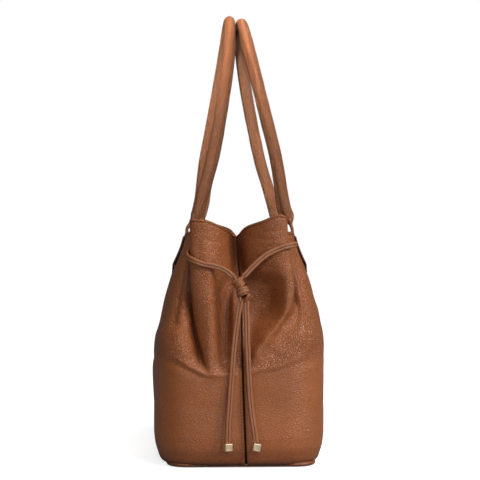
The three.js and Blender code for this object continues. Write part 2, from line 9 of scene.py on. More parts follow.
import bmesh
import bpy
import numpy as np
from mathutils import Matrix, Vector


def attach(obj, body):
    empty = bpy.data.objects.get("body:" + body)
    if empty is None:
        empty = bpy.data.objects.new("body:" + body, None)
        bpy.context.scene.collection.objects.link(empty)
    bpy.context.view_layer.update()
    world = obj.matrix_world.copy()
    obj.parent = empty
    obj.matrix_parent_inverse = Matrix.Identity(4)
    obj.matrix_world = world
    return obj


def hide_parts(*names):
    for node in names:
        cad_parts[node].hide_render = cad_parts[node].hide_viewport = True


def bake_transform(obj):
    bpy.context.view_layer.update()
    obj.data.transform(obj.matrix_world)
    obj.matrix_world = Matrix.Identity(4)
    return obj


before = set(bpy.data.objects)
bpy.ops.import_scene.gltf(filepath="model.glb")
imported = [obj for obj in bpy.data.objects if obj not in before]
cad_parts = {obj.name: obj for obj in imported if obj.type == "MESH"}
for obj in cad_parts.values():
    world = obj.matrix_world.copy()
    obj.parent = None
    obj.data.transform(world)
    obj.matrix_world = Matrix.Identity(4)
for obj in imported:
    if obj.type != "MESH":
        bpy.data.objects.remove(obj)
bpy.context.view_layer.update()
MM = 0.001

# ---------------------------------------------------------------- camera
CAMERA_DISTANCE = 1.40
CAMERA_HEIGHT = 0.222
CAMERA_AZIMUTH = math.radians(-2.0)
CAMERA_ASIDE = 0.0032
CAMERA_LENS = 97.0


def make_camera():
    """A long lens that looks level at the bag's right end."""
    data = bpy.data.cameras.new("camera")
    data.lens = CAMERA_LENS
    data.sensor_width = 36.0
    data.clip_end = 50.0
    camera = bpy.data.objects.new("camera", data)
    bpy.context.scene.collection.objects.link(camera)
    x = CAMERA_ASIDE + CAMERA_DISTANCE * math.sin(CAMERA_AZIMUTH)
    y = -CAMERA_DISTANCE * math.cos(CAMERA_AZIMUTH)
    camera.location = (x, y, CAMERA_HEIGHT)
    camera.rotation_euler = (math.pi / 2, 0, CAMERA_AZIMUTH)
    bpy.context.scene.camera = camera


make_camera()


# ---------------------------------------------------------------- small maths
def smooth(t):
    t = np.clip(t, 0.0, 1.0)
    return t * t * (3 - 2 * t)


def bell(distance, width):
    return np.exp(-((np.asarray(distance) / width) ** 2))


def unit(v):
    return v / np.maximum(np.linalg.norm(v, axis=-1, keepdims=True), 1e-9)


def travelled(path):
    """The distance from the path's start to each of its points."""
    steps = np.linalg.norm(np.diff(path, axis=0), axis=1)
    return np.concatenate([[0], np.cumsum(steps)])


def between(at, known, points):
    """Points at these distances, on straight lines between the points at the known distances."""
    return np.stack([np.interp(at, known, points[:, i]) for i in range(3)], axis=1)


def square_to(vectors, tangent):
    """The vectors turned square to the tangents, one unit long."""
    return unit(vectors - tangent * np.sum(vectors * tangent, axis=1, keepdims=True))


def circle(count):
    ring = np.linspace(0, 2 * math.pi, count, endpoint=False)
    return np.stack([np.cos(ring), np.sin(ring)], axis=1)


def steady_cubic(knots, values, at):
    """Cubic through the values that never overshoots them."""
    knots, values, at = (np.asarray(a, float) for a in (knots, values, at))
    step = np.diff(knots)
    rise = np.diff(values, axis=0) / step[:, None]
    slope = np.zeros_like(values)
    same = rise[:-1] * rise[1:] > 0
    mean = 2 * rise[:-1] * rise[1:] / np.where(same, rise[:-1] + rise[1:], 1.0)
    slope[1:-1] = np.where(same, mean, 0.0)
    slope[0], slope[-1] = rise[0], rise[-1]
    at = np.clip(at, knots[0], knots[-1])
    k = np.clip(np.searchsorted(knots, at, side="right") - 1, 0, len(knots) - 2)
    t = ((at - knots[k]) / step[k])[..., None]
    h = step[k][..., None]
    return (
        (1 + 2 * t) * (1 - t) ** 2 * values[k]
        + t * (1 - t) ** 2 * h * slope[k]
        + t * t * (3 - 2 * t) * values[k + 1]
        + t * t * (t - 1) * h * slope[k + 1]
    )


def natural_cubic(knots, values, at):
    """The smooth cubic through the values, as a bent strip of leather takes it."""
    knots, values = np.asarray(knots, float), np.asarray(values, float)
    n, h = len(knots), np.diff(knots)
    system, right = np.eye(n), np.zeros_like(values)
    for i in range(1, n - 1):
        system[i, i - 1 : i + 2] = h[i - 1], 2 * (h[i - 1] + h[i]), h[i]
        right[i] = 6 * ((values[i + 1] - values[i]) / h[i] - (values[i] - values[i - 1]) / h[i - 1])
    bend = np.linalg.solve(system, right)
    k = np.clip(np.searchsorted(knots, at, side="right") - 1, 0, n - 2)
    a = ((knots[k + 1] - at) / h[k])[:, None]
    b = 1 - a
    curve = a * values[k] + b * values[k + 1]
    return curve + ((a**3 - a) * bend[k] + (b**3 - b) * bend[k + 1]) * h[k][:, None] ** 2 / 6


def lattice(p, seed):
    """A repeatable random value from -1 to 1 at each whole-number point."""
    n = np.sin(p @ np.array([127.1, 311.7, 74.7]) + seed * 53.17) * 43758.5453
    return 2 * (n - np.floor(n)) - 1


def noise(points, size, seed=0):
    """Smooth noise from -1 to 1 over points in millimetres, with features of about this size."""
    p = np.asarray(points, float) / size
    base = np.floor(p)
    t = smooth(p - base)
    total = 0.0
    for corner in np.ndindex(2, 2, 2):
        c = np.array(corner)
        total = total + np.prod(np.where(c == 1, t, 1 - t), axis=-1) * lattice(base + c, seed)
    return total


# ---------------------------------------------------------------- mesh making
def make_object(name, points, faces, materials, body=None, face_material=None):
    mesh = bpy.data.meshes.new(name)
    mesh.from_pydata((np.asarray(points, float) * MM).tolist(), [], faces)
    mesh.update()
    if not isinstance(materials, (list, tuple)):
        materials = [materials]
    for material in materials:
        mesh.materials.append(material)
    if face_material is not None:
        mesh.polygons.foreach_set("material_index", np.asarray(face_material, np.int32))
    mesh.polygons.foreach_set("use_smooth", np.ones(len(mesh.polygons), bool))
    made = bpy.data.objects.new(name, mesh)
    bpy.context.scene.collection.objects.link(made)
    if body:
        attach(made, body)
    return made


def sharpen(obj, degrees):
    """Keeps the edges sharper than this angle crisp."""
    mesh = obj.data
    sharp = np.zeros(len(mesh.edges), bool)
    normals = [None] * len(mesh.edges)
    index = {tuple(sorted(e.vertices)): e.index for e in mesh.edges}
    limit = math.cos(math.radians(degrees))
    for polygon in mesh.polygons:
        for key in polygon.edge_keys:
            i = index[key]
            if normals[i] is None:
                normals[i] = polygon.normal.copy()
            else:
                sharp[i] = normals[i].dot(polygon.normal) < limit
    attribute = mesh.attributes.new("sharp_edge", "BOOLEAN", "EDGE")
    attribute.data.foreach_set("value", sharp)


def recalculated(obj):
    """The same object with its faces turned outwards."""
    mesh = bmesh.new()
    mesh.from_mesh(obj.data)
    bmesh.ops.recalc_face_normals(mesh, faces=mesh.faces)
    mesh.to_mesh(obj.data)
    mesh.free()
    return obj


def add_piece(name, mesh, materials, replaced, body="bag", painted=None, crisp=None):
    """A closed piece from (points, faces), in place of these CAD nodes. Edges sharper than the angle crisp
    stay crisp, and painted gives the index of each face's material."""
    points, faces = mesh
    piece = recalculated(make_object(name, points, faces, materials, body, painted))
    if crisp:
        sharpen(piece, crisp)
    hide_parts(*replaced)
    return piece


def grid_faces(rows, columns, start=0, turn=False, around=False):
    faces = []
    for r in range(rows - 1):
        for c in range(columns if around else columns - 1):
            d = (c + 1) % columns
            a, b = start + r * columns, start + (r + 1) * columns
            quad = [a + c, a + d, b + d, b + c]
            faces.append(quad[::-1] if turn else quad)
    return faces


def tube_faces(rows, columns):
    """The faces of a closed tube of rings."""
    first, last = list(range(columns))[::-1], [(rows - 1) * columns + c for c in range(columns)]
    return grid_faces(rows, columns, around=True) + [first, last]


def grid_normals(grid):
    return unit(np.cross(np.gradient(grid, axis=1), np.gradient(grid, axis=0)))


def sheet_mesh(outer, inner):
    """A closed sheet between an outer and an inner grid. Outer faces point along column x row direction."""
    rows, columns = outer.shape[:2]
    count = rows * columns
    points = np.concatenate([outer.reshape(-1, 3), inner.reshape(-1, 3)])
    faces = grid_faces(rows, columns) + grid_faces(rows, columns, count, turn=True)
    border = [(0, c) for c in range(columns)] + [(r, columns - 1) for r in range(1, rows)]
    border += [(rows - 1, c) for c in range(columns - 2, -1, -1)]
    border += [(r, 0) for r in range(rows - 2, 0, -1)]
    ids = [r * columns + c for r, c in border]
    faces += [[b, a, a + count, b + count] for a, b in zip(ids, ids[1:] + ids[:1])]
    return points, faces


def sweep_mesh(path, across, section, closed=False):
    """A tube: a section point (a, b) lies a along `across` and b along tangent x across, at each path
    point. section is one outline for the whole path, or one outline for each of its points."""
    path, across = np.asarray(path, float), np.asarray(across, float)
    if closed:
        tangent = unit(np.roll(path, -1, axis=0) - np.roll(path, 1, axis=0))
    else:
        tangent = unit(np.gradient(path, axis=0))
    across = square_to(across, tangent)
    other = np.cross(tangent, across)
    section = np.broadcast_to(section, (len(path),) + np.shape(section)[-2:])
    rings = path[:, None] + across[:, None] * section[..., :1] + other[:, None] * section[..., 1:]
    rows, columns = rings.shape[:2]
    points = rings.reshape(-1, 3)
    if closed:
        faces = [[i % (rows * columns) for i in f] for f in grid_faces(rows + 1, columns, around=True)]
        return points, faces
    return points, tube_faces(rows, columns)


def joined(parts):
    """Several (points, faces) pairs as one."""
    points, faces, start = [], [], 0
    for p, f in parts:
        points.append(np.asarray(p, float).reshape(-1, 3))
        faces += [[i + start for i in face] for face in f]
        start += len(p)
    return np.concatenate(points), faces


def even_path(points, step):
    """A smooth line through the points, as points an even step apart."""
    points = np.asarray(points, float)
    knots = travelled(points)
    dense = natural_cubic(knots, points, np.linspace(0, knots[-1], 600))
    length = travelled(dense)
    at = np.linspace(0, length[-1], max(3, int(round(length[-1] / step)) + 1))
    return between(at, length, dense)


def turned(points):
    """Points of the right end moved to the left end, half a turn about the upright axis."""
    return np.asarray(points, float) * np.array([-1.0, -1.0, 1.0])


# The share of a stitch's thickness that is drawn into the leather.
STITCH_SUNK = 0.6


def stitch_mesh(path, normal, pitch=3.1, length=2.2, width=0.6):
    """A row of thread dashes along a path, on the side that the normals point to."""
    path = np.asarray(path, float)
    normal = np.broadcast_to(np.asarray(normal, float), path.shape)
    travel = travelled(path)
    count = max(1, int(travel[-1] / pitch))
    ends = np.array([-1.0, -0.6, 0.0, 0.6, 1.0])
    thick = np.array([0.25, 0.85, 1.0, 0.85, 0.25])
    dashes = []
    for middle in (np.arange(count) + 0.5) * travel[-1] / count:
        at = middle + ends * length / 2
        up = unit(between(at, travel, normal))
        line = between(at, travel, path) + up * width * (thick[:, None] - STITCH_SUNK) / 2
        dashes.append(sweep_mesh(line, up, circle(6)[None] * thick[:, None, None] * width / 2))
    return joined(dashes)


def add_stitches(name, rows, material, body=None, **sizes):
    points, faces = joined([stitch_mesh(path, normal, **sizes) for path, normal in rows])
    return make_object(name, points, faces, material, body)


# ---------------------------------------------------------------- materials
def connect(tree, socket, value):
    """Gives a socket a number or a colour, or the output of another node."""
    if isinstance(value, bpy.types.NodeSocket):
        tree.links.new(value, socket)
    else:
        socket.default_value = value


def fill(tree, made, **values):
    """Sets a node's settings and sockets by name. Underscores in a socket's name stand for spaces."""
    for key, value in values.items():
        socket = key.replace("_", " ")
        if socket in made.inputs:
            connect(tree, made.inputs[socket], value)
        else:
            setattr(made, key, value)
    return made


def node(tree, kind, **values):
    return fill(tree, tree.nodes.new(kind), **values)


def new_material(name):
    """A material, its node tree, and the output that says where on the object a point lies."""
    material = bpy.data.materials.new(name)
    material.use_nodes = True
    tree = material.node_tree
    return material, tree, node(tree, "ShaderNodeTexCoord").outputs["Object"]


def surface(tree, **values):
    return fill(tree, tree.nodes["Principled BSDF"], **values)


def grey(v):
    return (v, v, v)


def warm(v):
    """Darkens tan leather towards red: painted shade in folds, and darker crevices between pebbles."""
    return (v, v * 0.75, v * 0.55)


def dimmed(colour, share):
    return tuple(min(1.0, c * share) for c in colour)


def clouds(tree, place, scale, detail=2.0, roughness=0.5, output="Fac"):
    texture = node(tree, "ShaderNodeTexNoise", Vector=place, Scale=scale, Detail=detail,
                   Roughness=roughness)
    return texture.outputs[output]


def ramp(tree, amount, *stops):
    """The colour for an amount, between stops that each give a position and a colour."""
    made = node(tree, "ShaderNodeValToRGB", Fac=amount)
    elements = made.color_ramp.elements
    while len(elements) < len(stops):
        elements.new(0.5)
    for element, (position, colour) in zip(elements, stops):
        element.position = position
        element.color = (*colour, 1.0)
    return made.outputs["Color"]


def mixed(tree, way, share, first, second):
    mix = node(tree, "ShaderNodeMixRGB", blend_type=way, Fac=share, Color1=first, Color2=second)
    return mix.outputs["Color"]


def bumped(tree, height, distance, strength=1.0):
    return node(tree, "ShaderNodeBump", Strength=strength, Distance=distance,
                Height=height).outputs["Normal"]


def maths(tree, operation, *values):
    made = node(tree, "ShaderNodeMath", operation=operation)
    for socket, value in zip(made.inputs, values):
        connect(tree, socket, value)
    return made.outputs["Value"]


def pebbles(tree, place, size):
    """Raised cells of about this size, from 0 in the creases between them to 1 on their tops."""
    warped = mixed(tree, "LINEAR_LIGHT", size * 0.9, place, clouds(tree, place, 0.4 / size, output="Color"))
    cells = node(tree, "ShaderNodeTexVoronoi", feature="DISTANCE_TO_EDGE", Vector=warped, Scale=1 / size)
    dome = [(0.0, grey(0.0)), (0.1, grey(0.45)), (0.25, grey(0.8)), (0.5, grey(1.0))]
    return ramp(tree, cells.outputs["Distance"], *dome)


def uneven(tree, place, height, size):
    """The height, shallower in patches that are several pebbles wide."""
    depth = ramp(tree, clouds(tree, place, 0.12 / size), (0.35, grey(0.7)), (0.65, grey(1.0)))
    return mixed(tree, "MULTIPLY", 1.0, height, depth)


def slack(tree, place, smooth_below):
    """1 where leather is slack, and 0.5 where it is stretched below a height that climbs away from the
    middle plane."""
    parts = node(tree, "ShaderNodeSeparateXYZ", Vector=place).outputs
    above = maths(tree, "MULTIPLY_ADD", maths(tree, "ABSOLUTE", parts["X"]), -0.2, parts["Z"])
    fade = node(tree, "ShaderNodeMapRange", Value=above, From_Min=smooth_below - 0.005,
                From_Max=smooth_below + 0.005, To_Min=0.5, To_Max=1.0)
    return fade.outputs["Result"]


def leather(name, colour, pebble=0.0026, relief=0.0007, roughness=0.33, crease=0.42, vary=0.08,
            flatten=1.6, gloss_level=0.65, smooth_below=None, fold_shade=0.4):
    """Pebbled leather: crevices darkened as grain colour and painted shade, painted shade deep in folds."""
    material, tree, place = new_material(name)
    laid = node(tree, "ShaderNodeMapping", Vector=place, Scale=(1.0, 1.0, flatten)).outputs["Vector"]
    dome = pebbles(tree, laid, pebble)
    height = mixed(tree, "MIX", 0.12, dome, clouds(tree, place, 3.2 / pebble, 3.0, 0.6))
    strength = slack(tree, place, smooth_below) if smooth_below else 1.0
    patches = ramp(tree, clouds(tree, place, 24.0, 5.0, 0.6),
                   (0.35, dimmed(colour, 1 - vary)), (0.65, dimmed(colour, 1 + vary)))
    # The crevices between pebbles are darker: partly the grain's own colour, partly painted shade.
    crevice_tone_and_shade = ramp(tree, dome, (0.0, warm(crease)), (0.4, grey(1.0)))
    base = mixed(tree, "MULTIPLY", strength, patches, crevice_tone_and_shade)
    # Painted shade: ambient occlusion darkens the colour deep in the folds and under the cords.
    folded = node(tree, "ShaderNodeAmbientOcclusion", samples=8, Distance=0.04).outputs["AO"]
    deep = ramp(tree, folded, (0.12, warm(fold_shade)), (0.72, grey(1.0)))
    surface(tree, Base_Color=mixed(tree, "MULTIPLY", 1.0, base, deep),
            Normal=bumped(tree, uneven(tree, laid, height, pebble), relief, strength),
            Roughness=ramp(tree, height, (0.0, grey(roughness + 0.15)), (1.0, grey(roughness))),
            Specular_IOR_Level=gloss_level)
    return material


def cloth(name, colour, thread=0.0006, relief=0.00012):
    """Twill: a diagonal rib crossed by the weft, with slubs."""
    material, tree, place = new_material(name)
    ribs, weft = (
        node(tree, "ShaderNodeTexWave", wave_type="BANDS", bands_direction=way, Scale=share / thread,
             Vector=place).outputs["Color"]
        for way, share in (("DIAGONAL", 0.11), ("Z", 0.2))
    )
    slubs = ramp(tree, clouds(tree, place, 420.0, 3.0), (0.25, dimmed(colour, 0.78)), (0.75, colour))
    weave = mixed(tree, "MULTIPLY", 0.6, ribs, weft)
    surface(tree, Base_Color=slubs, Normal=bumped(tree, weave, relief, 0.6), Roughness=0.88,
            Sheen_Weight=0.25)
    return material


def thread(name, colour):
    material, tree, place = new_material(name)
    twist = ramp(tree, clouds(tree, place, 2400.0), (0.3, dimmed(colour, 0.6)), (0.7, colour))
    surface(tree, Base_Color=twist, Roughness=0.6)
    return material


def metal(name, colour, roughness):
    """Plated metal with faint wear."""
    material, tree, place = new_material(name)
    wear = clouds(tree, place, 900.0, 4.0, 0.65)
    surface(tree, Base_Color=ramp(tree, wear, (0.2, dimmed(colour, 0.86)), (0.8, colour)),
            Normal=bumped(tree, wear, 0.00005, 0.15), Metallic=1.0,
            Roughness=ramp(tree, wear, (0.3, grey(roughness * 0.8)), (0.7, grey(roughness * 1.5))))
    return material


COGNAC = (0.345, 0.098, 0.02)
LEATHER = leather("pebbled_leather", COGNAC, smooth_below=0.091)
HANDLE_LEATHER = leather("handle_leather", (0.34, 0.107, 0.027), pebble=0.003, relief=0.0014,
                         roughness=0.3, crease=0.4, flatten=2.8, gloss_level=0.8)
CORD_LEATHER = leather("cord_leather", (0.32, 0.105, 0.03), pebble=0.0009, relief=0.0001, roughness=0.36,
                       crease=0.75)
# The cords' grooves and the knot's cores are painted this near-black: painted shade.
CORD_GROOVE_SHADE = leather("cord_groove_shade", (0.1, 0.034, 0.012), pebble=0.0009, relief=0.0001, crease=0.75)
PIPING = leather("piping_leather", (0.26, 0.08, 0.022), pebble=0.0012, relief=0.00015, crease=0.7)
EDGE_PAINT = leather("edge_paint", (0.022, 0.009, 0.006), pebble=0.0009, relief=0.00008, roughness=0.65,
                     crease=0.8, gloss_level=0.15)
THREAD = thread("thread", (0.04, 0.014, 0.007))
LINING = cloth("lining_twill", (0.46, 0.36, 0.25))
TAPE = cloth("woven_tape", (0.17, 0.08, 0.04), thread=0.0008)
COTTON = cloth("filler_cord", (0.68, 0.64, 0.55))
BOARD = leather("pressed_board", (0.3, 0.24, 0.18), pebble=0.0008, relief=0.0001, roughness=0.8)
GOLD = metal("pale_gold", (1.0, 0.82, 0.55), 0.36)
BRASS = metal("antique_brass", (0.5, 0.33, 0.16), 0.36)

# ---------------------------------------------------------------- the body's shape
BOTTOM = 3.2
SHELL_THICKNESS = 2.0
# How far the soft lower edge has rounded in under the body, by height.
BASE_LEVELS = [0, 3.2, 4.6, 8, 12, 20, 30]
BASE_INSETS = [11, 8.4, 6.4, 4.6, 3.3, 1.1, 0]
RIM_WALL = 231.0
HANDLE_Y = 75.0

# Half the bag's depth over the straight walls, by height.
WALL_LEVELS = [0, 33, 74, 108, 120, 130, 140, 167, 194, 207, 216, 231, 250]
WALL_DEPTHS = [82.4, 83.2, 83.2, 83.2, 82.8, 80.8, 78.4, 73.8, 66.0, 60.2, 56.6, 52.2, 45]

# One quarter of the outline is a smooth line through ten points (x, v) and then along the wall: the seam,
# the valley's side, its slope, the inner crest, the crest, the edge, the fold's bottom, the puff, the ridge
# and the corner. x is the distance from the middle plane, and v the distance out along the bag.
OPEN_A = [(0, 150), (11, 150.3), (22, 150.5), (33, 150.2), (44, 149.4), (54.5, 147.8), (65, 144),
          (75, 136.5), (81.6, 127), (85.2, 115)]
OPEN_B = [(0, 150), (10, 150.3), (20, 150.5), (31, 150.2), (42, 149.4), (52, 147.8), (62, 144),
          (72, 136.5), (78.4, 127), (82.2, 115)]
# The quarter at the right end's front, which is the same as the one at the left end's back, by height.
FOLDS_A = {
    60: OPEN_A,
    80: [(0, 150.6), (10, 151), (21, 151.4), (30, 151.4), (38, 151.2), (46, 150.6), (55, 149.4),
         (66, 146), (76, 137), (84.6, 119)],
    87: [(0, 151), (9, 151.4), (18, 151.8), (27, 152), (34, 151.8), (41, 151.4), (50, 150.4), (62, 147.4),
         (75, 138), (84.6, 119.4)],
    91.5: [(0, 151.4), (9, 152.6), (18, 153.2), (27, 153.4), (34, 153.2), (41, 152.8), (50, 151.8),
           (62, 149), (75, 139), (84.4, 119.4)],
    96: [(0, 149), (8.6, 150.4), (17, 149.4), (26, 152), (33, 152.2), (37.4, 147.6), (42, 144.6),
         (56, 150), (74.6, 139.8), (84, 119.4)],
    104: [(0, 146.6), (8, 147.8), (16, 144.6), (25, 150), (32.6, 151.6), (38.4, 144.6), (42, 137.6),
          (56, 149.4), (73.8, 140), (83.6, 119)],
    118: [(0, 143.4), (8, 144.6), (15.4, 139.6), (24.8, 147.8), (32.6, 150.8), (41, 142.4), (44.4, 133.4),
          (56, 146.8), (72, 138.4), (82, 118.6)],
    134: [(0, 139), (8, 140.6), (15, 134.6), (24.6, 145.2), (32.6, 150), (44, 140.4), (46.6, 131.6),
          (55, 141.4), (69, 134.6), (78.2, 116.4)],
    150: [(0, 133.4), (8, 135.6), (14.8, 130), (24.4, 142.6), (33, 149), (46.6, 138.6), (47.2, 127),
          (54.6, 135), (66, 130.4), (75, 114)],
    163: [(0, 128), (7.6, 131), (14, 127.4), (24, 140.2), (33.2, 148), (48.6, 137.6), (44.4, 120),
          (53.4, 127), (63.4, 125.6), (72, 111.7)],
    178: [(0, 120), (6, 123.6), (12.4, 126.8), (23.4, 138.6), (33.6, 146.4), (50.2, 136.6), (41, 115.4),
          (51.8, 117.6), (60.2, 118), (67.6, 109)],
    195: [(0, 111), (4.4, 116), (10.6, 125), (21.4, 137.6), (34, 144.6), (50.4, 135.6), (39.6, 115),
          (48, 112), (55.6, 112), (61.8, 104)],
    212: [(0, 105), (3.6, 111), (9.6, 122.6), (19.6, 136.6), (34.4, 143.8), (50.2, 135.2), (38.5, 116),
          (43, 109.5), (49.4, 107.6), (55.4, 100)],
    228: [(0, 102), (3.2, 108.6), (9, 121), (19.2, 135.6), (34.8, 143), (50, 135.8), (39.5, 118),
          (41, 108.4), (46.6, 105), (51.4, 98)],
    246: [(0, 102), (2.4, 111), (7, 126), (19, 137), (35.4, 143), (50, 137.4), (41, 120), (40, 109),
          (44.6, 104), (48.6, 98)],
}
# The quarter at the right end's back and the left end's front.
FOLDS_B = {
    60: OPEN_B,
    78: [(0, 150.6), (10, 151), (20, 151.4), (30, 151.4), (39, 150.8), (49, 149.6), (59, 146.8),
         (69, 140.4), (77, 130), (82.2, 116)],
    87: [(0, 150.8), (9.6, 151.4), (19, 151.8), (28, 151.8), (37, 151.4), (47, 150.2), (57, 147.8),
         (67, 141.6), (76.8, 131), (82.4, 116)],
    93: [(0, 151), (9.4, 152.6), (18.6, 153), (27.4, 153), (36.6, 152.6), (46, 151.6), (56.4, 149.8),
         (67, 143), (76.6, 131.8), (82.2, 116)],
    99: [(0, 148.4), (9, 151), (17, 151.4), (26, 150.4), (34.6, 150.4), (43.6, 150.4), (55, 149.8),
         (66, 144), (76.2, 132.6), (82.2, 116)],
    108: [(0, 145.4), (8, 149), (14, 153), (24, 149.4), (34, 148), (43, 148.4), (54, 149), (64.6, 145),
          (75.2, 133.6), (81.8, 116.4)],
    121: [(0, 141.6), (8, 142), (17, 149.6), (24, 153), (33, 147.6), (42, 145.4), (53, 146.6),
          (62.8, 143.4), (73.2, 133.4), (80.4, 116)],
    134: [(0, 137), (9, 135), (18, 141), (29, 150), (35.4, 150.4), (43, 143.6), (53, 141), (61.8, 141),
          (71, 132), (78, 115.8)],
    150: [(0, 132.4), (9, 127), (18, 126.6), (31, 136), (41.6, 150), (48.4, 142.4), (54, 133.6),
          (60.6, 135), (67.6, 129), (75, 114)],
    163: [(0, 128), (8.2, 122.6), (17.6, 120.6), (31.6, 130.4), (44, 147.6), (51, 138.6), (50.4, 123.6),
          (57.8, 127.2), (65, 124.4), (71.6, 111.4)],
    178: [(0, 120), (6, 120.6), (15.6, 122.6), (31, 131.4), (44.8, 145), (51.4, 135), (43, 115.4),
          (54.2, 117.8), (61.4, 117.6), (67.8, 108)],
    195: [(0, 111), (4, 116), (9.8, 127), (26, 137.4), (42.6, 144.4), (50.4, 135), (41, 115),
          (48.6, 112.6), (55.8, 112), (62, 104)],
    212: [(0, 105), (3.2, 111.6), (8.2, 125), (22, 138), (40.2, 144), (48.6, 135), (38.5, 116),
          (44, 109.5), (50, 107.6), (55.6, 100)],
    228: [(0, 102), (3, 109), (7.8, 122.6), (21, 136.6), (38.2, 143.6), (46.4, 136), (38.5, 118),
          (41.4, 108.4), (46.8, 105), (51.6, 98)],
    246: [(0, 102), (2.4, 111), (7, 127), (21, 138), (37.8, 143.4), (45.2, 137), (38.6, 120), (40, 109),
          (44.8, 104), (48.8, 98)],
}
# How far the shoulder over the smooth lower body climbs above its lowest place, at the ten points and the
# wall.
SHOULDER_A = [2, 1, 0, -0.5, 0, 4, 9, 15, 18, 14, 0, 0, 0]
SHOULDER_B = [0, 1, 3, 5, 7, 10, 15, 20, 22, 16, 0, 0, 0]
# How much the soft wall swells out beside each kind of end, low down.
SWELL_A, SWELL_B = 2.6, -3.2
# The rim's height at the same ten points.
RIM_A = [226, 227.6, 231.8, 236.6, 241.8, 242.6, 238, 232, 230, 230.4]
RIM_B = [226, 229, 235, 240.5, 247, 244.5, 237, 231, 229.4, 230.2]
WALL_V = [75.0, 0.0, -75.0]

# Creases and ridges of each quarter: points (x, z) as seen from the end, height (out is +) and half width.
STROKES_A = [
    ([(7, 176), (8, 150), (9, 130)], 0.9, 2.6),
    ([(54, 205), (59.5, 180), (63.5, 158), (67, 138)], -2.6, 3.0),
    ([(79, 122), (71, 109), (60, 100), (50, 94.5), (42, 90), (30, 88.5), (10, 91)], -0.7, 1.8),
    ([(22, 206), (27, 186), (26, 160), (22, 138)], -0.9, 2.6),
    ([(41, 235), (42.5, 210), (41.5, 180)], -0.6, 1.8),
    ([(66, 146), (56, 130), (47, 114)], -0.8, 2.4),
    ([(14, 224), (24, 220), (36, 222)], -0.55, 1.4),
    ([(16, 213), (28, 210), (44, 213)], -0.55, 1.3),
    ([(30, 233), (46, 229)], -0.45, 1.2),
    ([(70, 112), (52, 96), (40, 70)], 0.5, 9.0),
]
STROKES_B = [
    ([(45.6, 150), (38, 136), (29, 120)], -0.9, 2.2),
    ([(55, 205), (60, 180), (63, 158), (64, 136)], -2.2, 2.8),
    ([(8, 91), (26, 94.5), (42, 98), (57, 105), (72, 118)], -0.7, 1.8),
    ([(13, 233), (26, 230), (43, 233)], -0.7, 1.3),
    ([(13, 224), (28, 222), (44, 226)], -0.6, 1.2),
    ([(15, 215), (30, 217), (44, 213)], -0.7, 1.3),
    ([(16, 206), (28, 204), (42, 207)], -0.6, 1.2),
    ([(20, 197), (36, 194)], -0.6, 1.4),
    ([(20, 184), (30, 170), (24, 154)], -1.0, 3.4),
    ([(68, 140), (62, 122), (54, 108)], -0.5, 2.4),
    ([(24, 118), (32, 110), (44, 106)], -0.6, 2.2),
    ([(72, 108), (54, 90), (44, 60)], 0.5, 9.0),
]
SEAM = {"foot": 4.4, "lean": 4.6, "reach": 70.0, "groove": 1.5, "groove_width": 1.0,
        "edge": 0.6, "edge_at": 2.9, "edge_width": 1.1}
# The rolled rim and the stitched groove under it: (distance down from the rim, height out).
HEM = [(0.0, -1.2), (0.3, -0.45), (0.8, 0.12), (1.3, 0.34), (1.8, 0.3), (2.3, -0.12), (2.8, -0.5),
       (3.3, -0.42), (3.9, -0.02), (4.8, 0.16), (6.2, 0.12), (9.0, 0.0)]
# Where the stitches lie: how far down from the rim, and in which column beside the end seam.
HEM_STITCH = 2.9
SEAM_STITCH_COLUMN = 5


# The distances of an outline's points from the seam, and of the middle of the long wall.
KNOTS = travelled(np.array(OPEN_B + [(82.5, v) for v in WALL_V], float))
QUARTER = KNOTS[-2]


def wall_depth(z):
    return steady_cubic(WALL_LEVELS, np.array(WALL_DEPTHS, float)[:, None], z)[..., 0]


def belly(z, y):
    """How much fuller the wall is in its middle than beside the handles."""
    return 2.2 * smooth((z - 105) / 30) * (1 - smooth((z - 205) / 24)) * (1 - (y / HANDLE_Y) ** 2)


def low_swell(swell, z, y):
    return swell * (1 - smooth((z - 95) / 50)) * np.abs(y) / HANDLE_Y


def wall_x(side, z, y):
    """The front (-1) or back (1) wall's distance from the middle plane, between the handles."""
    swell = np.where(side * np.asarray(y) > 0, SWELL_A, SWELL_B)
    return wall_depth(z) + belly(z, y) + low_swell(swell, z, y)


def base_inset(z):
    return steady_cubic(BASE_LEVELS, np.array(BASE_INSETS, float)[:, None], z)[..., 0]


def outline(folds, swell, levels, u):
    """The quarter's outline (x, v) at each of these heights, for distances u round it from the seam."""
    known = sorted(folds)
    values = np.array([folds[k] for k in known], float).reshape(len(known), -1)
    ends = steady_cubic(known, values, levels).reshape(len(levels), -1, 2)
    depth = wall_depth(levels)
    reach = [depth + belly(levels, v) + np.sign(v) * low_swell(swell, levels, v) for v in WALL_V]
    wall = [np.stack([x, np.full_like(depth, v)], axis=1) for x, v in zip(reach, WALL_V)]
    points = np.concatenate([ends, np.stack(wall, axis=1)], axis=1)
    line = np.stack([natural_cubic(KNOTS, p, u) for p in points])
    along = np.gradient(line, axis=1)
    out = unit(np.stack([-along[..., 1], along[..., 0]], axis=2))
    return line - out * base_inset(levels)[:, None, None]


def rim_line(rim, u):
    """The rim's height at these distances from the seam."""
    heights = np.array(rim + [RIM_WALL] * len(WALL_V), float)[:, None]
    return steady_cubic(KNOTS, heights, u)[:, 0]


def seam_place(z):
    """How far the right end's seam stands towards the back: at its foot, and the other way at its top."""
    foot = SEAM["foot"] * (1 - np.clip(z / 118, 0, 1)) ** 1.2
    return foot - SEAM["lean"] * smooth((z - 170) / 55)


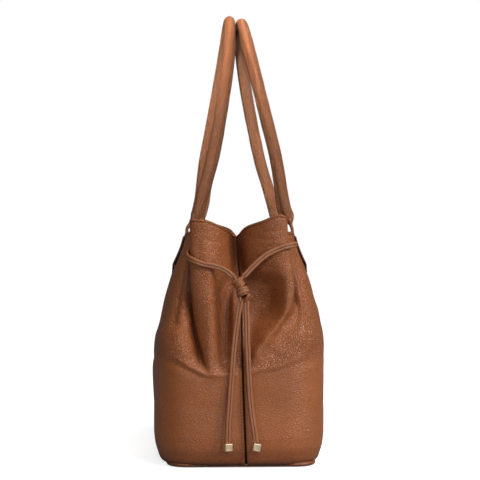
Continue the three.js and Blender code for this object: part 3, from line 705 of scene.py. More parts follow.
def quarter_points(folds, swell, shoulder, z, u, side):
    """Points (x, v, z) for arrays of heights and distances: columns share one u, rows run up."""
    levels = np.arange(0, 252, 1.0)
    table = outline(folds, swell, levels, u)
    climb = steady_cubic(KNOTS, np.array(shoulder, float)[:, None], u)[:, 0]
    climb = climb * smooth((z - 55) / 40) * (1 - smooth((z - 110) / 60))
    level = z - climb
    k = np.clip(np.floor(level).astype(int), 0, len(levels) - 2)
    t = (level - k)[..., None]
    columns = np.broadcast_to(np.arange(len(u)), z.shape)
    points = table[k, columns] * (1 - t) + table[k + 1, columns] * t
    x = np.maximum(points[..., 0], 0.1) + side * seam_place(z) * (1 - smooth(u / SEAM["reach"]))
    return np.stack([x, points[..., 1], z], axis=-1)


def stroke_height(strokes, x, z):
    """How far the creases and ridges raise the surface at each point seen from the end."""
    total = np.zeros_like(x)
    for line, height, width in strokes:
        line = np.array(line, float)
        best = np.full(x.shape, 1e9)
        where = np.zeros_like(x)
        for k, (a, b) in enumerate(zip(line[:-1], line[1:])):
            ab = b - a
            t = np.clip(((x - a[0]) * ab[0] + (z - a[1]) * ab[1]) / (ab @ ab), 0, 1)
            gap = np.hypot(x - a[0] - t * ab[0], z - a[1] - t * ab[1])
            nearer = gap < best
            best = np.where(nearer, gap, best)
            where = np.where(nearer, (k + t) / (len(line) - 1), where)
        fade = np.sin(math.pi * np.clip(0.12 + 0.76 * where, 0, 1)) ** 0.7
        total += height * fade * bell(best, width)
    return total


def column_places(fine):
    """The distances from the seam of a quarter's columns, which are closest at the seam."""
    seam = [0.0, 0.4, 0.9, 1.5, 2.2, 3.0, 3.9, 4.9]
    folds = np.arange(6.2, 112, fine)
    wall = np.linspace(112, QUARTER, max(8, int(46 / fine)))
    return np.concatenate([seam, folds, wall])


def slackness(points):
    """The unevenness of soft leather, which is less where the body is full."""
    return 0.55 * noise(points, 46, 1) + 0.28 * noise(points, 17, 2) * smooth((points[..., 2] - 60) / 60)


def quarter_grids(folds, swell, shoulder, rim, strokes, side, u, fine):
    """One quarter's points and relief, and each point's distances from the seam and down from the rim."""
    drops = np.array([d for d, _ in HEM][::-1], float)
    body = np.linspace(0, 1, int(205 / fine), endpoint=False)[:, None]
    top = rim_line(rim, u)
    z = np.concatenate([BOTTOM + body * (top - drops[0] - BOTTOM), top - drops[:, None]])
    points = quarter_points(folds, swell, shoulder, z, u, side)
    relief = stroke_height(strokes, points[..., 0], z) * smooth((points[..., 1] - 70) / 25)
    seam = -SEAM["groove"] * bell(u, SEAM["groove_width"])
    if side < 0:
        seam = seam + SEAM["edge"] * bell(u - SEAM["edge_at"], SEAM["edge_width"])
    return points, relief + seam[None], np.broadcast_to(u, z.shape), top[None] - z


def opened(first, second):
    """Two quarters' grids as one, from the first one's seam over the wall to the second one's seam."""
    return np.concatenate([first, second[:, -2::-1]], axis=1)


def leather_grids(fine=1.35):
    """The outer skin of one side in its own axes (x out from the middle plane), and what is needed to layer
    it: the smooth surface, its normals, the relief, and each point's distances from the seam and from the
    rim."""
    u = column_places(fine)
    first = quarter_grids(FOLDS_A, SWELL_A, SHOULDER_A, RIM_A, STROKES_A, -1, u, fine)
    second = quarter_grids(FOLDS_B, SWELL_B, SHOULDER_B, RIM_B, STROKES_B, 1, u, fine)
    points = opened(first[0] * np.array([1, -1, 1]), second[0])
    relief, across, down = (opened(a, b) for a, b in zip(first[1:], second[1:]))
    normals = grid_normals(points)
    if normals[:, normals.shape[1] // 2, 0].mean() < 0:
        normals = -normals
    hem = np.interp(down, [d for d, _ in HEM], [h for _, h in HEM])
    relief = relief + slackness(points)
    return {"base": points, "normals": normals, "relief": relief, "hem": hem, "across": across,
            "down": down}


SIDE = leather_grids()
# What turns one side's own axes into the frame's. The front is the back turned half round.
SIDES = {"front": np.array([-1.0, 1.0, 1.0]), "back": np.array([1.0, -1.0, 1.0])}
# Which way each wall faces along X, and where the straps of each end stand along Y.
WALLS = (("front", -1), ("back", 1))
ENDS = (("right", -HANDLE_Y), ("left", HANDLE_Y))
# The share of the leather's relief that shows on its inside and on the layers behind it.
INNER_RELIEF = 0.7


def lifted(grids, lift):
    """Every point moved out by this much, but along the bag only where the two sides meet in the seam."""
    pinned = bell(grids["across"], 1.6)[..., None] * np.array([1.0, 0.0, 0.0])
    return grids["base"] + grids["normals"] * lift[..., None] * (1 - pinned)


def edge_painted(grid, faces, edge_columns):
    """Marks the faces of a sheet that lie in its first and last columns."""
    columns = grid.shape[1]
    starts = [min(i % columns for i in face) for face in faces]
    return [int(min(c, columns - 2 - c) < edge_columns) for c in starts]


SKIN = lifted(SIDE, SIDE["relief"] + SIDE["hem"])


def make_shells():
    """The two leather halves, with painted edges where they meet in the end seams."""
    under = lifted(SIDE, SIDE["relief"] * INNER_RELIEF - SHELL_THICKNESS)
    for side, flip in SIDES.items():
        points, faces = sheet_mesh(SKIN * flip, under * flip)
        add_piece(f"{side}_shell_leather", (points, faces), [LEATHER, EDGE_PAINT],
                  [f"{side}_shell"], painted=edge_painted(SKIN, faces, 2))


make_shells()


# ---------------------------------------------------------------- what lies inside the walls
def on_wall(grids):
    """1 over the straight walls and 0 over the folded ends, where the layers lie closer."""
    return smooth((grids["across"] - 95) / 22)


def under_skin(grids, in_folds, at_walls):
    """The grid that lies this deep under the leather's surface."""
    depth = in_folds + (at_walls - in_folds) * on_wall(grids)
    return lifted(grids, INNER_RELIEF * grids["relief"] - depth)


INNER_FINE = 2.2
FACING_INSIDE = (3.1, 5.2)
# Layers inside the walls: the distances down from the rim between which they lie, and the depths of their
# outer and inner skins in the folds and at the walls.
LAYERS = (
    ("facing", 0.7, 37, ((2.1, 4.0), FACING_INSIDE), LEATHER, "pebbled_leather"),
    ("lining", 32, 224.5, ((2.05, 3.1), (2.6, 3.9)), LINING, "lining_cloth"),
)
SEAM_TAPE = {"from": 14, "to": 208, "half": 9, "outer": 2.02, "inner": 2.5}


def make_inner_layers():
    grids = leather_grids(INNER_FINE)
    middle = grids["down"][:, grids["down"].shape[1] // 2]
    for side, flip in SIDES.items():
        for name, start, end, depths, material, slot in LAYERS:
            rows = np.flatnonzero((middle > start) & (middle < end))
            outer, inner = (under_skin(grids, *depth)[rows] * flip for depth in depths)
            layer = add_piece(f"{side}_{name}_sheet", sheet_mesh(outer, inner), material,
                              [f"{side}_{name}"])


def make_seam_tapes():
    """A woven strip behind each end's centre seam, which it spans."""
    grids = leather_grids(INNER_FINE)
    down, across = grids["down"][:, 0], grids["across"][0]
    rows = np.flatnonzero((down > SEAM_TAPE["from"]) & (down < SEAM_TAPE["to"]))
    near = np.flatnonzero(across[: len(across) // 2] < SEAM_TAPE["half"])
    far = len(across) - 1 - near[::-1]
    skins = [under_skin(grids, SEAM_TAPE[skin], SEAM_TAPE[skin])[rows] for skin in ("outer", "inner")]
    for end, first, last in (("right", "back", "front"), ("left", "front", "back")):
        halves = ((far, SIDES[first]), (near, SIDES[last]))
        strip = [np.concatenate([skin[:, c] * flip for c, flip in halves], axis=1) for skin in skins]
        tape = add_piece(f"{end}_seam_tape_strip", sheet_mesh(*strip), TAPE,
                         [f"{end}_seam_tape"])


def make_hem_stitches():
    """Thread in the groove under the rim, outside and inside, and down the end seams' turned edge."""
    drops = np.array([d for d, _ in HEM][::-1])
    k = int(np.argmin(np.abs(drops - HEM_STITCH))) - len(drops)
    normals = SIDE["normals"]
    inner = under_skin(SIDE, *FACING_INSIDE)
    seam = (slice(4, -14, 3), SEAM_STITCH_COLUMN)
    rows = [(SKIN[k], normals[k]), (inner[k - 2], -normals[k - 2]), (SKIN[seam], normals[seam])]
    for side, flip in SIDES.items():
        flipped = [(path * flip, normal * flip) for path, normal in rows]
        add_stitches(f"{side}_hem_stitches", flipped, THREAD, "bag", pitch=3.0, length=2.0, width=0.55)


make_inner_layers()
make_seam_tapes()
make_hem_stitches()


# ---------------------------------------------------------------- handles
HANDLE = {"base": 250, "core": 3.9, "rise": {-1: 208, 1: 205.4}, "radius": 5.75, "apex": 6.5,
          "spread": 39.4, "power": 1.2, "sway": 2.5, "sway_drop": 4.7, "twist": 0.058,
          "flange": {-1: (2.0, 4.6), 1: (1.7, 3.0)}, "flange_half": 1.2}
STRAP = {"width": 15.0, "thickness": 2.4, "bottom": 197.0, "top": 229.0, "off_wall": 1.6, "pivot_x": 55.4}
# The flange's stitches and the filler start at this height.
ROLLED_FROM = 247


def handle_point(side, angle):
    """The middle of a handle's tube, from its right leg (0) over the top to its left leg (pi)."""
    height = np.sin(angle)
    y = -HANDLE_Y * np.cos(angle)
    lean = HANDLE["apex"] + HANDLE["spread"] * (1 - height) ** HANDLE["power"]
    turn = HANDLE["twist"] * smooth(3 * height)
    x = side * lean + HANDLE["sway"] - HANDLE["sway_drop"] * height - turn * y
    return np.stack([x, y, HANDLE["base"] + HANDLE["rise"][side] * height], axis=-1)


def tube_section(flange, half):
    """A rolled handle's outline: a circle whose last points stand out towards +a as the stitched flange."""
    start = math.asin(half / HANDLE["radius"])
    ring = np.linspace(start, 2 * math.pi - start, 30)
    tube = HANDLE["radius"] * np.stack([np.cos(ring), np.sin(ring)], axis=1)
    tip = HANDLE["radius"] + flange
    lip = [(HANDLE["radius"] + 0.4, -half), (tip - 0.5, -half), (tip, -half + 0.4), (tip, half - 0.4),
           (tip - 0.5, half), (HANDLE["radius"] + 0.4, half)]
    return np.concatenate([tube, lip])


def strap_section(count, width, thickness):
    """A flat strap's outline with the same number of points, in the same order."""
    ring = np.linspace(0.12, 2 * math.pi - 0.12, count)
    c, s = np.cos(ring), np.sin(ring)
    power = 0.28
    a = np.sign(c) * np.abs(c) ** power * thickness / 2
    b = np.sign(s) * np.abs(s) ** power * width / 2
    return np.stack([a, b], axis=1)


def leg_points(side, y):
    """The middle of a strap end, up its wall and over the bend towards the handle's tube."""
    z = np.linspace(STRAP["bottom"], STRAP["top"], 18)
    wall = np.stack([side * (wall_depth(z) + STRAP["off_wall"]), np.full_like(z, y), z], axis=1)
    foot = side * handle_point(side, 0.0 if y < 0 else math.pi)[0]
    bend = ((54.3, 231.5), (53.6, 235), (0.6 * 52.2 + 0.4 * (foot + 4.2), 239), (foot + 3.1, 243.5))
    return np.concatenate([wall, [[side * reach, y, height] for reach, height in bend]])


def handle_line(side):
    """The path of a handle, strap end to strap end, and the inward direction at each point."""
    angles = np.linspace(0, math.pi, 150)
    tube = handle_point(side, angles)
    clear = tube[:, 2] > HANDLE["base"]
    dip = math.pi / 3 * np.sin(angles) ** 2
    inward = np.stack([-side * np.cos(dip), np.zeros_like(dip), -np.sin(dip)], axis=1)
    legs = [leg_points(side, y) for _, y in ENDS]
    beside = [np.tile([-side, 0, 0.0], (len(leg), 1)) for leg in legs]
    path = np.concatenate([legs[0], tube[clear], legs[1][::-1]])
    inward = np.concatenate([beside[0], inward[clear], beside[1]])
    line = even_path(path, 1.8)
    known = travelled(path)
    return line, between(np.linspace(0, known[-1], len(line)), known, inward)


def handle_sections(side, line):
    """The outline at each point: flat where the strap lies on the wall, and a flanged tube above it."""
    high, low = (tube_section(flange, HANDLE["flange_half"]) for flange in HANDLE["flange"][side])
    flat = strap_section(len(high), STRAP["width"], STRAP["thickness"])
    rolled = smooth((line[:, 2] - 236) / 12)[:, None, None]
    lowly = 1 - smooth((line[:, 2] - 256) / 30)[:, None, None]
    plump = 0.03 * noise(line, 11, 5)[:, None, None]
    tube = high * (1 - lowly) + low * lowly
    return (flat * (1 - rolled) + tube * rolled) * (1 + plump * rolled)


def make_cover(name, side, line, inward):
    """The rolled leather, whose raw flange edge is painted."""
    sections = handle_sections(side, line)
    points, faces = sweep_mesh(line, inward, sections)
    count = sections.shape[1]
    tip = range(count - 5, count - 2)
    painted = [int(len(f) == 4 and min(i % count for i in f) in tip) for f in faces]
    nodes = [f"{name}_handle_cover", f"right_{name}_strap_end", f"left_{name}_strap_end"]
    cover = add_piece(f"{name}_handle", (points, faces), [HANDLE_LEATHER, EDGE_PAINT],
                      nodes, body=None, painted=painted)
    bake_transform(cover)


def make_flange_stitches(name, line, inward):
    """Thread along both faces of the flange."""
    other = np.cross(unit(np.gradient(line, axis=0)), inward)
    rolled = line[:, 2] > ROLLED_FROM
    seat = line + inward * (HANDLE["radius"] + 1.2)
    rows = []
    for way in (-1, 1):
        face = seat + way * other * HANDLE["flange_half"]
        rows.append((face[rolled], way * other[rolled]))
    add_stitches(f"{name}_handle_stitches", rows, THREAD, f"{name}_handle", pitch=3.1, length=2.1,
                 width=0.8)


def make_filler(name, line, inward):
    """The three-ply cord inside the rolled leather."""
    inside = line[:, 2] > ROLLED_FROM
    ring = np.linspace(0, 2 * math.pi, 16, endpoint=False)
    ply = HANDLE["core"] * (1 + 0.08 * np.cos(3 * ring))
    turn = np.arange(inside.sum())[:, None] * 0.35
    cord = ply[None, :, None] * np.stack([np.cos(ring + turn), np.sin(ring + turn)], axis=2)
    mesh = sweep_mesh(line[inside], inward[inside], cord)
    add_piece(f"{name}_handle_filler", mesh, COTTON, [f"{name}_handle_core"],
              f"{name}_handle")


def make_handles():
    for name, side in WALLS:
        line, inward = handle_line(side)
        make_cover(name, side, line, inward)
        inward = square_to(inward, unit(np.gradient(line, axis=0)))
        make_flange_stitches(name, line, inward)
        make_filler(name, line, inward)


make_handles()


# ---------------------------------------------------------------- tabs over the strap ends
TAB = {"half": 12.0, "bottom": 189.0, "top": 226.0, "thickness": 1.3, "stand": 2.7, "seat": 1.7,
       "round": 9.0, "stitches_in": 3}


def tab_grids(side, y):
    """Outer and inner grids of a tab: it stands over the strap in the middle and is sewn down at its
    edges."""
    s = np.linspace(0, 1, 34)
    w = np.linspace(-1, 1, 27)
    z = TAB["bottom"] + (TAB["top"] - TAB["bottom"]) * s
    corner = np.clip((TAB["bottom"] + TAB["round"] - z) / TAB["round"], 0, 1)
    half = TAB["half"] - TAB["round"] * 0.85 * (1 - np.sqrt(1 - corner**2))
    half = half - 1.2 * np.clip((z - TAB["top"] + 2) / 2, 0, 1) ** 2
    zz = np.broadcast_to(z[:, None], (len(s), len(w)))
    yy = y + half[:, None] * w[None]
    over = 1 - smooth((np.abs(half[:, None] * w[None]) - 6.0) / 5.0)
    lower = smooth((zz - TAB["bottom"] - 1) / 9)
    stand = TAB["seat"] + (TAB["stand"] - TAB["seat"]) * over * lower - 1.3 * (1 - lower)
    x = wall_depth(zz) + stand
    inner = np.stack([side * x, yy, zz], axis=-1)
    edge = 1 - 0.28 * np.clip(np.abs(w) * 6 - 5, 0, 1)[None] ** 2
    outer = np.stack([side * (x + TAB["thickness"] * edge), yy, zz], axis=-1)
    return outer, inner


def stitch_loop(grid):
    """Points along a tab's stitches: over its top, down one side, across its foot and down the other
    side."""
    n = TAB["stitches_in"]
    return np.concatenate([grid[-n, n:-n], grid[n + 6:-n, -n][::-1], grid[n, 8:-8][::-1],
                           grid[n + 6:-n, n - 1]])


def make_tab(name, side, end, y):
    outer, inner = tab_grids(side, y)
    points, faces = sheet_mesh(outer, inner)
    rows, columns = outer.shape[:2]
    skins = 2 * (rows - 1) * (columns - 1)
    painted = [int(i >= skins) for i in range(len(faces))]
    add_piece(f"{end}_{name}_tab_leather", (points, faces), [LEATHER, EDGE_PAINT],
              [f"{end}_{name}_tab"], painted=painted, crisp=50)
    add_stitches(f"{end}_{name}_tab_stitches", [(stitch_loop(outer), (side, 0, 0.3))], THREAD, "bag")


for wall, wall_side in WALLS:
    for tab_end, tab_y in ENDS:
        make_tab(wall, wall_side, tab_end, tab_y)


# ---------------------------------------------------------------- base
BASE = {"half_depth": 69.0, "half_length": 136.5, "corner": 16.0}
WELT = {"radius": 2.2, "height": 2.9, "grow": 2.5}


def rounded_outline(grow, step=2.0):
    """Points round a rounded rectangle this much larger than the base panel, and their outward
    directions."""
    hx, hy, r = BASE["half_depth"] + grow, BASE["half_length"] + grow, BASE["corner"] + grow
    points, outward = [], []
    centres = [(sx * (hx - r), sy * (hy - r)) for sx, sy in ((1, -1), (1, 1), (-1, 1), (-1, -1))]
    for k, (cx, cy) in enumerate(centres):
        for angle in np.linspace(-math.pi / 2, 0, 9) + k * math.pi / 2:
            outward.append((math.cos(angle), math.sin(angle), 0))
            points.append((cx + r * math.cos(angle), cy + r * math.sin(angle), 0))
        span = 2 * (hy - r) if k % 2 == 0 else 2 * (hx - r)
        direction = np.array([-math.sin(k * math.pi / 2), math.cos(k * math.pi / 2), 0])
        last, out = np.array(points[-1]), outward[-1]
        for d in np.arange(step, span - step / 2, step):
            points.append(tuple(last + direction * d))
            outward.append(out)
    return np.array(points), np.array(outward)


# The base's two layers: how much they are smaller than the panel, and the heights between which they lie.
BASE_LAYERS = (
    ("base_leather", "base_panel", 0.0, 0.0, 2.4, LEATHER, "pebbled_leather"),
    ("base_cloth", "base_lining", 3.0, 5.6, 6.6, LINING, "lining_cloth"),
)


# About half the plates' depth and length, which turn an inset into a scale.
PLATE_HALVES = np.array([62, 130])


def plate_mesh(edge, low, high):
    """A plate inside this outline, with edges that round in."""
    rings = []
    for inset, z in ((1.2, low), (0.3, low + 0.3), (0.0, (low + high) / 2), (0.3, high - 0.3), (1.2, high)):
        scale = np.append(1 - inset / PLATE_HALVES, 1)
        rings.append(edge * scale + np.array([0, 0, z]))
    return np.concatenate(rings), tube_faces(len(rings), len(edge))


def make_base():
    """The piping round the foot, the base panel and the lining over the board."""
    points, outward = rounded_outline(WELT["grow"])
    path = points + np.array([0, 0, WELT["height"]])
    piping = sweep_mesh(path, outward, WELT["radius"] * circle(14), closed=True)
    add_piece("base_piping", piping, PIPING, ["base_welt"])
    for name, node_name, shrink, low, high, material, slot in BASE_LAYERS:
        mesh = plate_mesh(rounded_outline(-shrink)[0], low, high)
        add_piece(name, mesh, material, [node_name], crisp=30)


make_base()


# ---------------------------------------------------------------- drawcords
# Points (x, v, z) at the right end, v being the distance out from the bag's middle.
ROUTES = {
    "front_span": [(-36.4, 121.5, 214), (-41.4, 121.5, 213.9), (-46, 123, 213), (-50, 126.3, 211),
                   (-53.2, 133.4, 208), (-51.3, 141.2, 204.5), (-45.2, 145.4, 201.5), (-37.5, 146, 198.6),
                   (-26, 146.4, 196.4), (-16, 147.6, 192.4), (-8.35, 149.2, 186.2)],
    "back_span": [(36.4, 121.5, 214), (41.4, 121.5, 214.1), (46, 123, 215.2), (50, 126.3, 217),
                  (53.2, 133.4, 218), (51.3, 141.2, 217.6), (45.2, 145.4, 216.4), (37.5, 146, 214),
                  (25.5, 146.8, 208.6), (13, 148, 198.6), (1.25, 149.8, 186.4)],
    "front_tail": [(-1.7, 152, 163), (-3, 152.2, 155), (-6, 152.8, 135), (-9, 153.6, 106),
                   (-11.8, 154.8, 68), (-13.6, 155.8, 40), (-14, 156.1, 25.6)],
    "back_tail": [(4.1, 152, 163), (4.3, 152.2, 155), (5, 153, 126), (6.5, 154, 88), (9.4, 155.2, 53),
                  (12, 156, 36), (13.2, 156.1, 25.6)],
}
CORD = {"width": 5.4, "thickness": 3.3, "groove": 0.5}
# Each cube's place (x, z) at the right end, and how far it is turned and tilted.
CUBES = {"front": (-14.0, 22.7, 0.35, 0.0), "back": (14.0, 22.6, 0.0, 0.2)}
CUBE = {"edge": 7.2, "v": 156.1, "bevel": 0.6, "recess": 0.35, "recess_half": 1.9}
GROOVE_ANGLE = math.radians(5)


def groove_shade_faces(section, faces):
    """Marks the faces of a swept cord that lie in its groove, which get painted shade."""
    deep = np.abs(section[:, 1]) < 0.6
    return [int(all(deep[i % len(section)] for i in face)) for face in faces]


def cord_section():
    """A folded strap: flat, with rounded folds and a stitched groove down its face, which points to +a."""
    beside = [half_turn + side * GROOVE_ANGLE for half_turn in (0, math.pi) for side in (-1, 1)]
    even = np.linspace(0, 2 * math.pi, 28, endpoint=False)
    ring = np.sort(np.concatenate([even, np.mod(beside, 2 * math.pi)]))
    c, s = np.cos(ring), np.sin(ring)
    b = np.sign(s) * np.abs(s) ** 0.72 * CORD["width"] / 2
    a = np.sign(c) * np.abs(c) ** 0.6 * CORD["thickness"] / 2
    a = a - np.sign(c) * CORD["groove"] * bell(b, 0.55)
    return np.stack([a, b], axis=1)


def right_end(points):
    """Points (x, v, z) as points of the frame at the right end."""
    return np.asarray(points, float) * np.array([1.0, -1.0, 1.0])


def outward_from_bag(line):
    """The direction from the bag's folded end out to each point of a cord that lies on it."""
    core = line.copy()
    core[:, 0] = np.clip(line[:, 0], -42, 42)
    core[:, 1] = np.where(np.abs(line[:, 0]) > 42, -132, line[:, 1] + 12)
    return unit(line - core)


def other_side(side, end):
    """What a side of the right end is called at this end, which is the same or turned half round."""
    return side if end == "right" else {"front": "back", "back": "front"}[side]


def put(end, points):
    """Points of the right end as they lie at this end."""
    return points if end == "right" else turned(points)


def place_cord(end, part, body, line, facing):
    """A cord along a line of the right end, its stitched face turned to the facing directions."""
    section = cord_section()
    line, facing = put(end, line), put(end, facing)
    points, faces = sweep_mesh(line, facing, section)
    name = f"{end}_{part}_cord"
    cord = add_piece(name, (points, faces), (CORD_LEATHER, CORD_GROOVE_SHADE), [f"{end}_{part}"],
                     body, painted=groove_shade_faces(section, faces))
    lift = CORD["thickness"] / 2 - CORD["groove"] - 0.05
    facing = square_to(facing, unit(np.gradient(line, axis=0)))
    rows = [(line + facing * lift, facing)]
    add_stitches(f"{name}_stitches", rows, THREAD, body, pitch=2.3, length=1.6, width=0.5)


def cube_mesh():
    """A cube with soft edges and a plain square recess in the face at -Y."""
    h, b, r = CUBE["edge"] / 2, CUBE["bevel"], CUBE["recess_half"]
    mesh = bmesh.new()
    bmesh.ops.create_cube(mesh, size=2 * h)
    bmesh.ops.bevel(mesh, geom=list(mesh.edges), offset=b, segments=3, profile=0.5, affect="EDGES")
    face = min(mesh.faces, key=lambda f: f.calc_center_median().y)
    bmesh.ops.inset_individual(mesh, faces=[face], thickness=h - b - r)
    bmesh.ops.inset_individual(mesh, faces=[face], thickness=0.18, depth=-CUBE["recess"])
    mesh.verts.index_update()
    points = np.array([v.co[:] for v in mesh.verts])
    faces = [[v.index for v in f.verts] for f in mesh.faces]
    mesh.free()
    return points, faces


def make_cube(end, side):
    """The metal cube at the foot of a tail."""
    x, z, turn, tilt = CUBES[side]
    points, faces = cube_mesh()
    ct, st, cz, sz = math.cos(tilt), math.sin(tilt), math.cos(turn), math.sin(turn)
    about_y = np.array([[ct, 0, st], [0, 1, 0], [-st, 0, ct]])
    about_z = np.array([[cz, -sz, 0], [sz, cz, 0], [0, 0, 1]])
    points = points @ (about_z @ about_y).T + np.array([x, -CUBE["v"], z])
    name = f"{end}_{other_side(side, end)}"
    mesh = (put(end, points), faces)
    return add_piece(f"{name}_end_cube", mesh, GOLD, [f"{name}_cube"], f"{name}_tail",
                     crisp=25)


def coil(centre, axis, out, radii, turns, pitch, start):
    """Points of a strap wound round an axis: radii are across the view and towards the viewer."""
    axis = unit(np.asarray(axis, float))
    out = unit(np.asarray(out, float) - axis * np.dot(out, axis))
    across = np.cross(out, axis)
    t = np.linspace(0, 1, int(12 * turns) + 1)
    angle = math.radians(start) + 2 * math.pi * turns * t
    along = axis * pitch * turns * (t[:, None] - 0.5)
    return (np.asarray(centre, float) + along + across * radii[0] * np.cos(angle)[:, None]
            + out * radii[1] * np.sin(angle)[:, None])


# The tied knot: the back cord winds the upper-left lump and the front cord the lower-right one.
UPPER_COIL = {"centre": (-3.4, -149.8, 180.2), "axis": (0.62, 0, -0.78), "out": (0, -1, 0),
              "radii": (4.1, 3.8), "turns": 2.0, "pitch": 3.9, "start": 200}
LOWER_COIL = {"centre": (0.9, -150.9, 171.4), "axis": (0.2, -0.38, -0.9), "out": (0.1, -1, 0),
              "radii": (4.7, 4.0), "turns": 2.6, "pitch": 3.6, "start": 160}
KNOT_CORES = [((-3.2, -149.8, 180.2), (3.6, 3.0, 4.4)), ((0.9, -150.9, 171.6), (4.3, 3.0, 5.2))]
# Where each strap comes into the knot from its span, and where it leaves for its tail.
KNOT_STARTS = [(1.3, 149.8, 186.4)], [(-8.4, 149.2, 186.2)]
KNOT_ENDS = [(-1.9, 150.2, 169), (-1.9, 151.8, 162.5)], [(3.6, 151.8, 162.5)]


def knot_strands():
    """The two straps in the knot, each from its span through its coil to its tail."""
    coils = coil(**UPPER_COIL), coil(**LOWER_COIL)
    strands = zip(KNOT_STARTS, coils, KNOT_ENDS)
    return [even_path(np.concatenate([right_end(a), b, right_end(c)]), 0.6) for a, b, c in strands]


def ellipsoid_mesh(centre, radii):
    """A core that fills the middle of a coil."""
    rings, sides = 9, 14
    phi = np.linspace(0.15, math.pi - 0.15, rings)[:, None]
    around = circle(sides)
    ball = [np.sin(phi) * around[:, 0], np.sin(phi) * around[:, 1], -np.cos(phi) * np.ones(sides)]
    points = np.stack(ball, axis=-1) * np.array(radii) + np.array(centre)
    return points.reshape(-1, 3), tube_faces(rings, sides)


def core_beside(strand, middles):
    """For each point of a strand, the mean of the knot's core middles, the nearest one counting most."""
    weight = 1 / np.linalg.norm(strand[:, None] - middles[None], axis=2) ** 2
    return (weight[..., None] * middles[None]).sum(1) / weight.sum(1)[:, None]


def make_knot(end):
    """Two coils of the cord's strap over cores that are painted shade in the knot's middle."""
    middles = np.array([centre for centre, _ in KNOT_CORES])
    section = cord_section() * np.array([0.95, 0.86])
    strands = []
    for line in knot_strands():
        facing = unit(line - core_beside(line, middles))
        strands.append(sweep_mesh(line, facing, section))
    cores = [ellipsoid_mesh(centre, radii) for centre, radii in KNOT_CORES]
    painted = [index for _, faces in strands for index in groove_shade_faces(section, faces)]
    # The cores take the groove's dark colour, as painted shade inside the knot.
    painted += [1 for _, faces in cores for _ in faces]
    points, faces = joined(strands + cores)
    return add_piece(f"{end}_knot_leather", (put(end, points), faces), (CORD_LEATHER, CORD_GROOVE_SHADE),
                     [f"{end}_knot"], painted=painted)


def make_drawcord(end):
    """One end's knot, and on each side of it a span, a tail and a cube."""
    knot = make_knot(end)
    for side in ("front", "back"):
        named = other_side(side, end)
        span = even_path(right_end(ROUTES[f"{side}_span"]), 1.0)
        place_cord(end, f"{named}_span", "bag", span, outward_from_bag(span))
        cube = make_cube(end, side)
        tail = even_path(right_end(ROUTES[f"{side}_tail"]), 1.5)
        twist = 0.25 * np.sin(np.linspace(0, 2.6, len(tail)))
        facing = np.stack([np.sin(twist), -np.cos(twist), np.zeros_like(twist)], axis=1)
        place_cord(end, f"{named}_tail", f"{end}_{named}_tail", tail, facing)


for drawn_end in ("right", "left"):
    make_drawcord(drawn_end)


# ---------------------------------------------------------------- backing, pocket and zip inside
PATCH = {"half": 13.0, "bottom": 184.0, "top": 228.0}
POUCH = {"half": 60.0, "bottom": 96.0, "top": 188.0}
SLIP = {"half": 66.0, "bottom": 92.0, "top": 186.0, "stand": 7.5, "hem": 11.0}
ZIP = {"z": 180.0, "half": 66.0, "tape": 11.0, "chain": 59.5, "pitch": 2.1, "offset": 0.7,
       "tooth_half": 0.42, "tooth_reach": 1.7}
# How deep under the walls' surface the stiff backing lies, and what is sewn on the lining.
BACKING = {"depth": 2.45, "thickness": 0.5}
ON_LINING = 4.4


def inner_wall_x(side, y, z):
    """How far a wall stands out from the middle plane, as the layers on its inside see it."""
    x = wall_x(side, z, np.clip(y, -HANDLE_Y, HANDLE_Y))
    own_place = np.stack(np.broadcast_arrays(x, -side * y, z), axis=-1)
    return x + INNER_RELIEF * slackness(own_place)


def wall_sheet(side, y, z, depth, thickness):
    """A closed sheet on the inside of a wall: depth and thickness are numbers or grids (z down the
    rows)."""
    yy, zz = np.meshgrid(y, z)
    x = inner_wall_x(side, yy, zz) - depth
    outer = np.stack([side * x, yy, zz], axis=-1)
    inner = np.stack([side * (x - thickness), yy, zz], axis=-1)
    return outer, inner


def place_sheet(name, grids, material, replaced):
    sheet = add_piece(name, sheet_mesh(*grids), material, [replaced], crisp=45)


def make_backing():
    """Stiff patches behind the handles' tabs."""
    for name, side in WALLS:
        for end, y in ENDS:
            across = np.linspace(y - PATCH["half"], y + PATCH["half"], 12)
            up = np.linspace(PATCH["bottom"], PATCH["top"], 16)
            grids = wall_sheet(side, across, up, **BACKING)
            place_sheet(f"{end}_{name}_backing", grids, BOARD, f"{end}_{name}_patch")


def make_pouch():
    """The zip pocket's pouch, behind the back lining."""
    across = np.linspace(-POUCH["half"], POUCH["half"], 40)
    up = np.linspace(POUCH["bottom"], POUCH["top"], 34)
    grids = wall_sheet(1, across, up, **BACKING)
    place_sheet("zip_pouch_cloth", grids, LINING, "zip_pouch")


def make_slip_pocket():
    """An open-topped pocket that bellies out from the lining, with a turned hem along its mouth."""
    across = np.linspace(-SLIP["half"], SLIP["half"], 74)
    up = np.linspace(SLIP["bottom"], SLIP["top"], 62)
    s, t = across / SLIP["half"], (up - SLIP["bottom"]) / (SLIP["top"] - SLIP["bottom"])
    side_way = 1 - np.abs(s) ** 5
    up_way = smooth(t / 0.3) * (0.8 + 0.2 * t)
    wave = 0.5 * noise(np.stack(np.broadcast_arrays(across[None], 0.0, up[:, None]), axis=-1), 30, 8)
    stand = (SLIP["stand"] + wave) * up_way[:, None] * side_way[None]
    hem = 0.5 * smooth((up - SLIP["top"] + SLIP["hem"]) / 0.8)[:, None]
    outer, inner = wall_sheet(-1, across, up, ON_LINING + stand, 0.9 + hem)
    place_sheet("slip_pocket_cloth", (outer, inner), LINING, "slip_pocket")
    hem_row = int(np.argmin(np.abs(up - SLIP["top"] + SLIP["hem"] - 1.6)))
    seams = [inner[hem_row], inner[:, 2], inner[:, -3], inner[2]]
    rows = [(seam, (1.0, 0, 0)) for seam in seams]
    add_stitches("slip_pocket_stitches", rows, THREAD, "bag", pitch=3.0, width=0.6)


